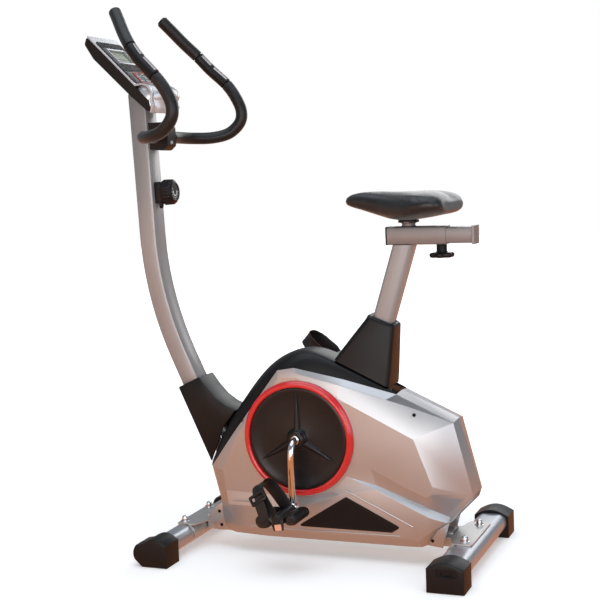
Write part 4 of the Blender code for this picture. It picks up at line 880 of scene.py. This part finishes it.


# ---------------------------------------------------------------- seat post and slider
# Square steel tubes: the post slides in the seat tube, a sleeve is welded across its top,
# and an inner rail with a folded end plate carries the saddle. All silver powder coat.
# the seat post wears the same darker, warmer silver: painted shade and a painted warm reflection
refined("seat_post", shaded_post_paint, "post", 0.0)
# the sleeve and rail wear the silver coat drawn darker and warmer still: painted shade and a painted warm reflection
shaded_sleeve_paint = surface("grey_powder_coated_sleeve", ("6f6a69", "7a7473"), 0.05, 0.0009, 0.00004, (0.34, 0.44),
    Metallic=0.5, Coat_Weight=0.2, Coat_Roughness=0.2)
refined("slider_sleeve", shaded_sleeve_paint, "post", 0.0012)
refined("slider_rail", shaded_sleeve_paint, "saddle", 0.0012)
SLEEVE_Z, SLEEVE_HEIGHT, SLEEVE_WIDTH, SLEEVE_FRONT = 0.787, 0.043, 0.05, 0.269
plug = prism(slab_corners(SLEEVE_WIDTH + 0.001, SLEEVE_HEIGHT + 0.001, 0.005), 0.004)
plug = placed(plug, (0, SLEEVE_FRONT - 0.0018, SLEEVE_Z), REARWARD)
finish("sleeve_end_cap", plug, moulded, "post", (), 40, 0.0012)
# adjusting holes up the post's right side, where the spring pin drops in
post_hole = turn([(0.0, 0.0001), (0.0052, 0.0001), (0.0058, 0.0005), (0.0066, 0.0004), (0.0068, -0.0004),
    (0, -0.0004)], 20)
hole_spots = []
for k in range(5):
    rise = 0.036 + 0.026 * k
    hole_spots.append((-0.0252, SEAT_Y + rise * sin(SEAT_LEAN), SEAT_Z + rise * cos(SEAT_LEAN)))
spread("post_adjusting_holes", hole_spots, post_hole, screw_black, "post", 1, (-1, 0, 0))


# ---------------------------------------------------------------- star knob
# A black moulded knob of six soft lobes on a round neck; its steel stud clamps the rail.
STAR_Y, LOBES = 0.397, 6
lobed = []
for k in range(96):
    angle = 2 * pi * k / 96
    radius = 0.027 + 0.0034 * cos(LOBES * angle)
    lobed.append((radius * cos(angle), radius * sin(angle)))
rows = [[(a * share, b * share, height) for a, b in lobed] for height, share in ((-0.0322, 0.8), (-0.0318, 0.9),
    (-0.03, 0.97), (-0.028, 1.0), (-0.024, 1.0), (-0.022, 0.97), (-0.0204, 0.88), (-0.02, 0.78))]
neck = turn([(0, -0.001), (0.012, -0.001), (0.0125, -0.0018), (0.0125, -0.016), (0.015, -0.0205), (0, -0.0205)], 40)
stud = turn([(0, 0.006), (0.0046, 0.006), (0.005, 0.005), (0.005, -0.002), (0, -0.002)], 24)
knob = placed(joined(skin(rows), neck, stud), (0, STAR_Y, SLEEVE_Z - SLEEVE_HEIGHT / 2))
finish("star_knob_finished", knob, moulded, "clamp_knob", ["star_knob"], 40)


# ---------------------------------------------------------------- saddle
# Foam on a moulded pan, covered in black vinyl with a fine embossed leather grain. The
# cover is drawn tight: the nose is rounded, the top dips a little, the rear spreads wide.
STEM_Y, VOXEL, SWELL, CAP = 0.317, 0.0048, 0.0035, 0.005
vinyl = surface("embossed_black_vinyl", ("101011", "171719"), 0.05, 0.0018, 0.00012, (0.3, 0.42), True,
    Sheen_Weight=0.08, Sheen_Roughness=0.5, Specular_IOR_Level=0.36)
PAN_EDGE = 0.862
# y, half width, top and underside from nose to rear
SECTIONS = [(0.1605, 0.006, 0.879, 0.869), (0.166, 0.021, 0.888, 0.8625), (0.18, 0.03, 0.8945, 0.857),
    (0.205, 0.037, 0.8975, 0.85), (0.23, 0.044, 0.897, 0.842), (0.255, 0.053, 0.895, 0.8345),
    (0.28, 0.067, 0.893, 0.8275), (0.305, 0.083, 0.892, 0.8242), (0.33, 0.1, 0.892, 0.8245),
    (0.355, 0.113, 0.8925, 0.827), (0.38, 0.12, 0.893, 0.8305), (0.4, 0.119, 0.8925, 0.8345),
    (0.415, 0.114, 0.8895, 0.8365), (0.424, 0.106, 0.885, 0.8388), (0.428, 0.094, 0.879, 0.8415)]


def cushion_start(shrink):
    """The cushion's closed skin, drawn in by a margin so that it can swell to size."""
    rings = []
    for y, half, top, low in SECTIONS:
        middle, rise = (top + low) / 2, (top - low) / 2
        ring = []
        for k in range(48):
            angle = 2 * pi * k / 48
            c, s = cos(angle), sin(angle)
            inset = shrink * max(0.0, s) ** 0.5
            x = (half - inset) * copysign(abs(c) ** 0.72, c)
            hollow = 0.0035 * exp(-(x / 0.022) ** 2) * max(0.0, s) * min(1.0, half / 0.08)
            ring.append((x, y + (inset if y < 0.3 else -inset) * abs(y - 0.3) / 0.14,
                middle + (rise - inset) * copysign(abs(s) ** 0.62, s) - hollow))
        rings.append(ring)
    return skin(rings)


def plumped(mesh, cap, pressure, frames=20):
    """The cover after it is filled: its skin swells, held where it sits on its pan."""
    even = worked(mesh, modifiers=[("REMESH", {"mode": "VOXEL", "voxel_size": VOXEL})])
    block = linked("cover", even)
    rest = [vertex.co.copy() for vertex in even.vertices]
    held = block.vertex_groups.new(name="held")
    seated = [i for i, co in enumerate(rest) if co.z < PAN_EDGE or co.y < 0.168]
    held.add(seated, 1.0, "REPLACE")
    cloth = block.modifiers.new("filling", "CLOTH")
    cloth.settings.use_pressure, cloth.settings.uniform_pressure_force = True, pressure
    cloth.settings.effector_weights.gravity = 0.0
    cloth.settings.vertex_group_mass = "held"
    cloth.settings.quality = 5
    cloth.point_cache.frame_start, cloth.point_cache.frame_end = 1, frames
    for step in range(1, frames + 1):
        bpy.context.scene.frame_set(step)
    graph = bpy.context.evaluated_depsgraph_get()
    swollen = bpy.data.meshes.new_from_object(block.evaluated_get(graph))
    for vertex, before in zip(swollen.vertices, rest):
        moved = vertex.co - before
        if moved.length > cap:
            vertex.co = before + moved * (cap / moved.length)
    bpy.data.objects.remove(block)
    bpy.context.scene.frame_set(1)
    return worked(swollen, modifiers=[("SMOOTH", {"factor": 0.5, "iterations": 2}),
        ("SUBSURF", {"levels": 1, "render_levels": 1})])


cover = plumped(cushion_start(SWELL), CAP, 4.0)
cushion = finish("saddle_cover", cover, vinyl, "saddle", ["saddle_cushion"], 80)

# the pan, its stem with a flared foot, and the clamp collar under it
pan_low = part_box("saddle_pan")[0]
pan = worked(placed(prism(slab_corners(0.042, 0.046, 0.012), 0.006), (0, STEM_Y, 0.8212)),
    modifiers=bevel(0.0012, 2))
finish("saddle_pan_plate", pan, moulded, "saddle", (), 40)
# the stem is drawn in the sleeve's darker, warmer silver: painted shade and a painted warm reflection
stem = turn([(0, 0.82), (0.022, 0.82), (0.0215, 0.818), (0.017, 0.8165), (0.016, 0.814), (0.016, 0.8112),
    (0.0185, 0.8096), (0.019, 0.809), (0.0155, pan_low.z), (0, pan_low.z)], 40)
finish("saddle_stem", placed(stem, (0, STEM_Y, 0)), shaded_sleeve_paint, "saddle", ["saddle_pan"], 40)


# ---------------------------------------------------------------- height pin
# A turned steel plunger with a ribbed black knob, sprung into the post's holes.
def fluted(profile, flutes, depth, narrow=1, steps=160):
    """A turned grip: its profile says height, radius and the share of the flutes' depth."""
    rings = []
    for height, radius, share in profile:
        ring = []
        for k in range(steps):
            angle = 2 * pi * k / steps
            r = radius - depth * share * (0.5 + 0.5 * cos(flutes * angle)) ** narrow
            ring.append((r * cos(angle), r * sin(angle), height))
        rings.append(ring)
    return skin(rings)


pin_head = fluted(((0.062, 0.01, 0), (0.0618, 0.012, 0.3), (0.06, 0.0145, 0.8), (0.0575, 0.0158, 1),
    (0.045, 0.0158, 1), (0.0425, 0.0145, 0.8), (0.039, 0.0118, 0.2), (0.0365, 0.0088, 0)), 12, 0.0006, 1, 72)
plunger = turn([(0, 0.037), (0.006, 0.037), (0.006, 0.0008), (0.0045, 0.0004), (0.0045, -0.0012), (0, -0.0012)], 24)
pin = placed(joined(pin_head, plunger), (-0.03, PIN_Y, PIN_Z), TURN_RIGHT)
finish("height_pin_finished", pin, moulded, "pin", ["height_pin"], 40)


# ---------------------------------------------------------------- handlebar
# A black painted steel tube, bent to a wide loop with two rising horns. Foam sleeves are
# blown on with air; steel plates on black collars sense the pulse.
BAR_RADIUS, GRIP_RADIUS, PER, SENSOR_SPREAD = 0.011, 0.0155, 6, 40
BAR_Y, BAR_Z = -0.331, 1.048
BAR_HALF = [(0, BAR_Y, BAR_Z), (0.045, BAR_Y, BAR_Z), (0.09, -0.331, 1.048), (0.137, -0.314, 1.046),
    (0.172, -0.275, 1.046), (0.192, -0.234, 1.056), (0.2, -0.204, 1.083), (0.2015, -0.1985, 1.115),
    (0.2015, -0.214, 1.152), (0.2025, -0.24, 1.187), (0.195, -0.281, 1.227), (0.185, -0.311, 1.262),
    (0.163, -0.34, 1.297), (0.141, -0.364, 1.33), (0.123, -0.384, 1.357)]
bar_paint = surface("black_powder_coated_tube", ("131314", "19191b"), 0.08, 0.0009, 0.00003, (0.28, 0.36),
    Coat_Weight=0.3, Coat_Roughness=0.15)
foam = surface("black_rubber_foam", ("0b0b0c", "121213"), 0.012, 0.0011, 0.00003, (0.36, 0.5), True,
    Sheen_Weight=0.1, Sheen_Roughness=0.4, Specular_IOR_Level=0.34)
sensor_steel = surface("brushed_sensor_steel", ("97908e", "a5a09e"), 0.02, 0.0012, 0.00002, (0.3, 0.44),
    Metallic=0.9)
left_half = flowing(BAR_HALF, PER)


def bar_stretch(side, first, last, trim=0.0):
    points = [Vector((side * p.x, p.y, p.z)) for p in left_half[first * PER:last * PER + 1]]
    points[0] = points[0] + (points[1] - points[0]).normalized() * trim
    points[-1] = points[-1] + (points[-2] - points[-1]).normalized() * trim
    return points


def tapered(radius, ease, sides=28):
    """A round section that eases in at both ends of its stretch."""
    def section(share):
        near = min(share, 1 - share) / ease
        return round_section(radius - 0.003 * max(0.0, 1 - near) ** 2.2, sides)
    return section


def doubled(points, at_ends=3):
    """The same path with more points at its ends, for a rounded rim."""
    first = [points[0].lerp(points[1], k / (at_ends + 1)) for k in range(1, at_ends + 1)]
    last = [points[-2].lerp(points[-1], k / (at_ends + 1)) for k in range(1, at_ends + 1)]
    return [points[0]] + first + points[1:-1] + last + [points[-1]]


whole = [Vector((-p.x, p.y, p.z)) for p in reversed(left_half[1:-3])] + left_half[:-3]
finish("handlebar_finished", along(whole, round_section(BAR_RADIUS, 28)), bar_paint, "bars",
    ["handlebar"], 50)
for word, side in SIDES:
    lower = along(doubled(bar_stretch(side, 1, 9, 0.0012)), tapered(GRIP_RADIUS, 0.02))
    finish(f"grip_{word}_finished", lower, foam, "bars", ["grip_" + word], 50)
    upper = along(doubled(bar_stretch(side, 11, 14, 0.0012)), tapered(GRIP_RADIUS, 0.05))
    finish(f"tip_grip_{word}_finished", upper, foam, "bars", ["tip_grip_" + word], 50)
    collar = along(doubled(bar_stretch(side, 9, 11, -0.0006)), tapered(GRIP_RADIUS - 0.0002, 0.01))
    finish(f"sensor_collar_{word}", collar, moulded, "bars", (), 50)
    plates = []
    for first in (9, 10):
        stretch = bar_stretch(side, first, first + 1, 0.0055)
        rings = []
        for i, point in enumerate(stretch):
            ahead = (stretch[min(i + 1, len(stretch) - 1)] - stretch[max(i - 1, 0)]).normalized()
            toward = Vector((0, 1.0, 0.25))
            toward = (toward - ahead * toward.dot(ahead)).normalized()
            other = ahead.cross(toward)
            outer, inner = [], []
            for k in range(13):
                angle = radians(SENSOR_SPREAD * (k / 6 - 1))
                ray = toward * cos(angle) + other * sin(angle)
                outer.append(tuple(point + ray * (GRIP_RADIUS + 0.0007)))
                inner.append(tuple(point + ray * (GRIP_RADIUS - 0.001)))
            rings.append(outer + inner[::-1])
        plates.append(skin(rings))
    finish(f"pulse_sensor_{word}_finished", joined(*plates), sensor_steel, "bars",
        ["pulse_sensor_" + word], 50, 0.0004)
    # a moulded plug closes each horn's end
    before, tip = bar_stretch(side, 13, 14)[-2:]
    plug = turn([(0, 0.0028), (0.008, 0.0024), (0.0118, 0.001), (0.0126, -0.001), (0, -0.001)], 28)
    plug.transform(Matrix.Translation(tip) @ (tip - before).to_track_quat("Z", "Y").to_matrix().to_4x4())
    finish(f"horn_plug_{word}", plug, moulded, "bars", (), 50)


# ---------------------------------------------------------------- handlebar clamp
# Two black glass-filled nylon blocks, drawn together over the bar by a painted bolt.
refined("handlebar_clamp", moulded, "frame", 0.0022, 3)
hex_head = joined(turn([(0, 0.0), (0.0078, 0.0), (0.0078, 0.001), (0, 0.0012)], 28),
    worked(placed(prism(round_section(0.0062, 6), 0.0045), (0, 0, 0.003)), modifiers=bevel(0.0005)))
spread("clamp_bolts", [(0.004, -0.306, 1.034)], hex_head, bracket_paint, "frame", 0.62, (0, 1, 0), 0.3)


# ---------------------------------------------------------------- console
# A black moulded case with a silver lacquered face. The face has a dark recessed panel
# of fine ribs, a display behind a lens, and a red-rimmed block with four keys; below it
# swells into a rounded chin.
CONSOLE = Vector((0, -0.4095, 1.2255))
FACE = (radians(-45), 0, 0)


def on_face(mesh, x, u, rise=0.0):
    """Places a mesh on the face: x across, u down the face, rise off it."""
    return placed(placed(mesh, (x, u, rise)), CONSOLE, FACE)


refined("console_case", moulded, "frame", 0.003, 3)
console_silver = surface("silver_lacquered_abs_trim", ("a9aaad", "b4b5b8"), 0.06, 0.0008, 0.00002, (0.22, 0.32),
    Metallic=0.5, Coat_Weight=0.4, Coat_Roughness=0.12)
refined("console_bezel", console_silver, "frame", 0.0008)
panel = worked(prism(slab_corners(0.13, 0.156, 0.01), 0.0018), placed(prism(slab_corners(0.084, 0.048, 0.002),
    0.01), (-0.002, -0.045 + 0.02, 0)), *[placed(prism(slab_corners(0.0212, 0.0092, 0.001), 0.01),
    (x, u + 0.02, 0)) for x in (0.008, -0.022) for u in (0.029, 0.045)], modifiers=bevel(0.0005, 2,
    limit_method="ANGLE"))
panel_black = surface("ribbed_black_panel", ("151516", "1f1f21"), 0.03, 0.001, 0.00003, (0.32, 0.46))
finish("console_panel", on_face(panel, 0, -0.02, 0.0008), panel_black, "frame", (), 40)
rib = prism(slab_corners(0.124, 0.0009, 0.0004, 1), 0.0008)
rib_spots = []
for k in range(64):
    u = -0.093 + 0.0024 * k
    if not (-0.074 < u < -0.016 or 0.014 < u < 0.06):
        rib_spots.append(CONSOLE + Euler(FACE).to_matrix() @ Vector((0, u, 0.0019)))
face_normal = Euler(FACE).to_matrix() @ Vector((0, 0, 1))
spread("console_panel_ribs", rib_spots, rib, panel_black, "frame", 1, face_normal)
lens = surface("display_lens", ("60664f", "6c725b"), 0.02, 0.002, 0.00001, (0.3, 0.4), Coat_Weight=0.15,
    Coat_Roughness=0.05, Specular_IOR_Level=0.2)
refined("display_window", lens, "frame", 0.0003, 1)
rim = worked(prism(slab_corners(0.094, 0.058, 0.006), 0.0026), prism(slab_corners(0.0815, 0.0455, 0.002), 0.01),
    modifiers=bevel(0.0008, 2, limit_method="ANGLE"))
finish("display_rim", on_face(rim, -0.002, -0.045, 0.0018), console_silver, "frame", (), 40)
# dark segments behind the lens: plain bars, as on a display that is switched off
segment_ink = surface("display_segments", ("3a3f36", "444a3f"), 0.01, 0.001, 0.00001, (0.3, 0.4))
bars = [on_face(prism(slab_corners(width, 0.0012, 0.0004, 1), 0.0003), x, u, -0.001) for x, u,
    width in ((-0.002, -0.036, 0.07), (0.018, -0.056, 0.02), (-0.01, -0.056, 0.02), (-0.03, -0.056, 0.012))]
finish("display_segments", joined(*bars), segment_ink, "frame")
block_rim = worked(prism(slab_corners(0.07, 0.042, 0.009), 0.0024), prism(slab_corners(0.0664, 0.0384, 0.0075),
    0.01), modifiers=bevel(0.0005, 2, limit_method="ANGLE"))
finish("key_block_rim", on_face(block_rim, -0.007, 0.037, 0.0022), red_gloss, "frame", (), 40)
key_rubber = surface("grey_silicone_keys", ("8f9092", "9a9b9d"), 0.01, 0.001, 0.00003, (0.45, 0.6))
for key in ("a1", "a2", "b1", "b2"):
    refined("console_button_" + key, key_rubber, "button_" + key, 0.0008)
marks = [on_face(prism(slab_corners(0.012, 0.001, 0.0004, 1), 0.0004), x, u, 0.002) for x in (0.008,
    -0.022) for u in (0.0365, 0.0205)]
mark_ink = surface("white_tampo_print", ("d9d9d8", "e3e3e2"), 0.01, 0.001, 0.00001, (0.4, 0.5))
finish("key_marks", joined(*marks), mark_ink, "frame")


def chin_ring(share):
    """The chin's outline in (u, rise); it swells out at the middle, towards the rider."""
    ease = (1 - abs(share) ** 9.0) ** 0.5
    swell = 1.0 + 0.95 * (1 - share * share) ** 1.5
    hump = arc(0.0305, 142, 18, (0.096, -0.0075), 16) + [(0.137, -0.006), (0.1445, -0.0215), (0.138, -0.027),
        (0.11, -0.03), (0.08, -0.026), (0.066, -0.004)]
    ring = []
    for u, rise in hump:
        along_u, off = (u - 0.104) * ease, (rise + 0.014) * ease
        lift = max(0.0, along_u + off) * (swell - 1) * 0.55
        ring.append((0.104 + along_u + lift, -0.014 + off + lift))
    return ring


CHIN_HALF = 0.0728
shares = [sin(radians(90 * k / 14)) * 0.999 for k in range(-14, 15)]
rings = [[(CHIN_HALF * share, u, rise) for u, rise in chin_ring(share)] for share in shares]
finish("console_chin", on_face(skin(rings), 0, 0), console_silver, "frame", (), 60)


# ---------------------------------------------------------------- tension knob
# A black moulded base screwed to the post, and a fluted knob with a dished face that
# carries a plain printed scale.
refined("tension_knob_base", moulded, "frame", 0.0, 2)
POST_LEAN_TOP = radians(2)
base_low, base_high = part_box("tension_knob_base")
knob_seat = Vector((0, (base_low.y + base_high.y) / 2, (base_low.z + base_high.z) / 2))
knob_axis = Matrix.Rotation(POST_LEAN_TOP, 4, "X") @ Matrix.Rotation(radians(-90), 4, "X")
knob_place = Matrix.Translation(knob_seat + Matrix.Rotation(POST_LEAN_TOP, 3,
    "X") @ Vector((0, 0.0093, 0))) @ knob_axis
knob = fluted(((0.0005, 0.029, 0), (0.003, 0.0318, 0.4), (0.005, 0.033, 1), (0.025, 0.0325, 1),
    (0.0275, 0.0308, 0.5), (0.0298, 0.0275, 0), (0.0322, 0.025, 0), (0.033, 0.0225, 0), (0.0326, 0.0205, 0),
    (0.0316, 0.0195, 0)), 20, 0.0019, 2)
knob.transform(knob_place)
finish("tension_knob_finished", knob, moulded, "resistance_knob", ["tension_knob"], 40)
MARK_RISE, MARK_THICK = 0.0318, 0.0005
ticks = []
for k in range(8):
    bar = placed(prism(slab_corners(0.0034, 0.0011, 0.0004, 1), MARK_THICK), (0.0155, 0, MARK_RISE))
    ticks.append(placed(bar, rotation=(0, 0, radians(-30 + 30 * k))))
sweep_mark = arc(0.0105, -20, 200, steps=22) + arc(0.009, 200, -20, steps=22)
ticks.append(placed(prism(sweep_mark, MARK_THICK), (0, 0, MARK_RISE)))
scale = joined(*ticks)
scale.transform(knob_place)
finish("knob_scale", scale, mark_ink, "resistance_knob")
gland = placed(turn([(0, 0), (0.006, 0), (0.006, -0.006), (0.0045, -0.012), (0.0035, -0.013), (0, -0.013)], 20),
    (0, knob_seat.y, base_low.z + 0.001))
finish("cable_gland", gland, moulded, "frame")


# ---------------------------------------------------------------- inside the housing
# What turns behind the shells: a moulded pulley and ribbed belt, a cast iron flywheel
# with turned faces, its axle and bearings, and the steel arm that carries the magnets.
cast_iron = surface("turned_cast_iron", ("6a6a6c", "77777a"), 0.03, 0.0012, 0.00004, (0.32, 0.5), Metallic=0.9)
zinc = surface("bright_zinc_plated_steel", ("a2a4a6", "b3b4b4"), 0.02, 0.0015, 0.00002, (0.25, 0.4), Metallic=1.0)
belt_rubber = surface("ribbed_belt_rubber", ("121213", "1b1b1d"), 0.02, 0.001, 0.00006, (0.6, 0.75))
for node, mat, body, slot, rounding in (("flywheel", cast_iron, "flywheel_body", "turned_iron", 0.0006),
        ("flywheel_axle", zinc, "frame", "bright_steel", 0.0006), ("drive_pulley", moulded, "crankset", "black_abs",
        0.0005), ("drive_belt", belt_rubber, "frame", "black_rubber", 0.0),
        ("brake_arm", zinc, "brake", "bright_steel", 0.0006), ("bearing_left", zinc, "frame", "bright_steel",
        0.0004), ("bearing_right", zinc, "frame", "bright_steel", 0.0004), ("crank_support", powder, "frame",
        "silver_powder_coat", 0.0006), ("front_upright", powder, "frame", "silver_powder_coat", 0.0),
        ("seat_tube", powder, "frame", "silver_powder_coat", 0.0)):
    refined(node, mat, body, rounding, 1)
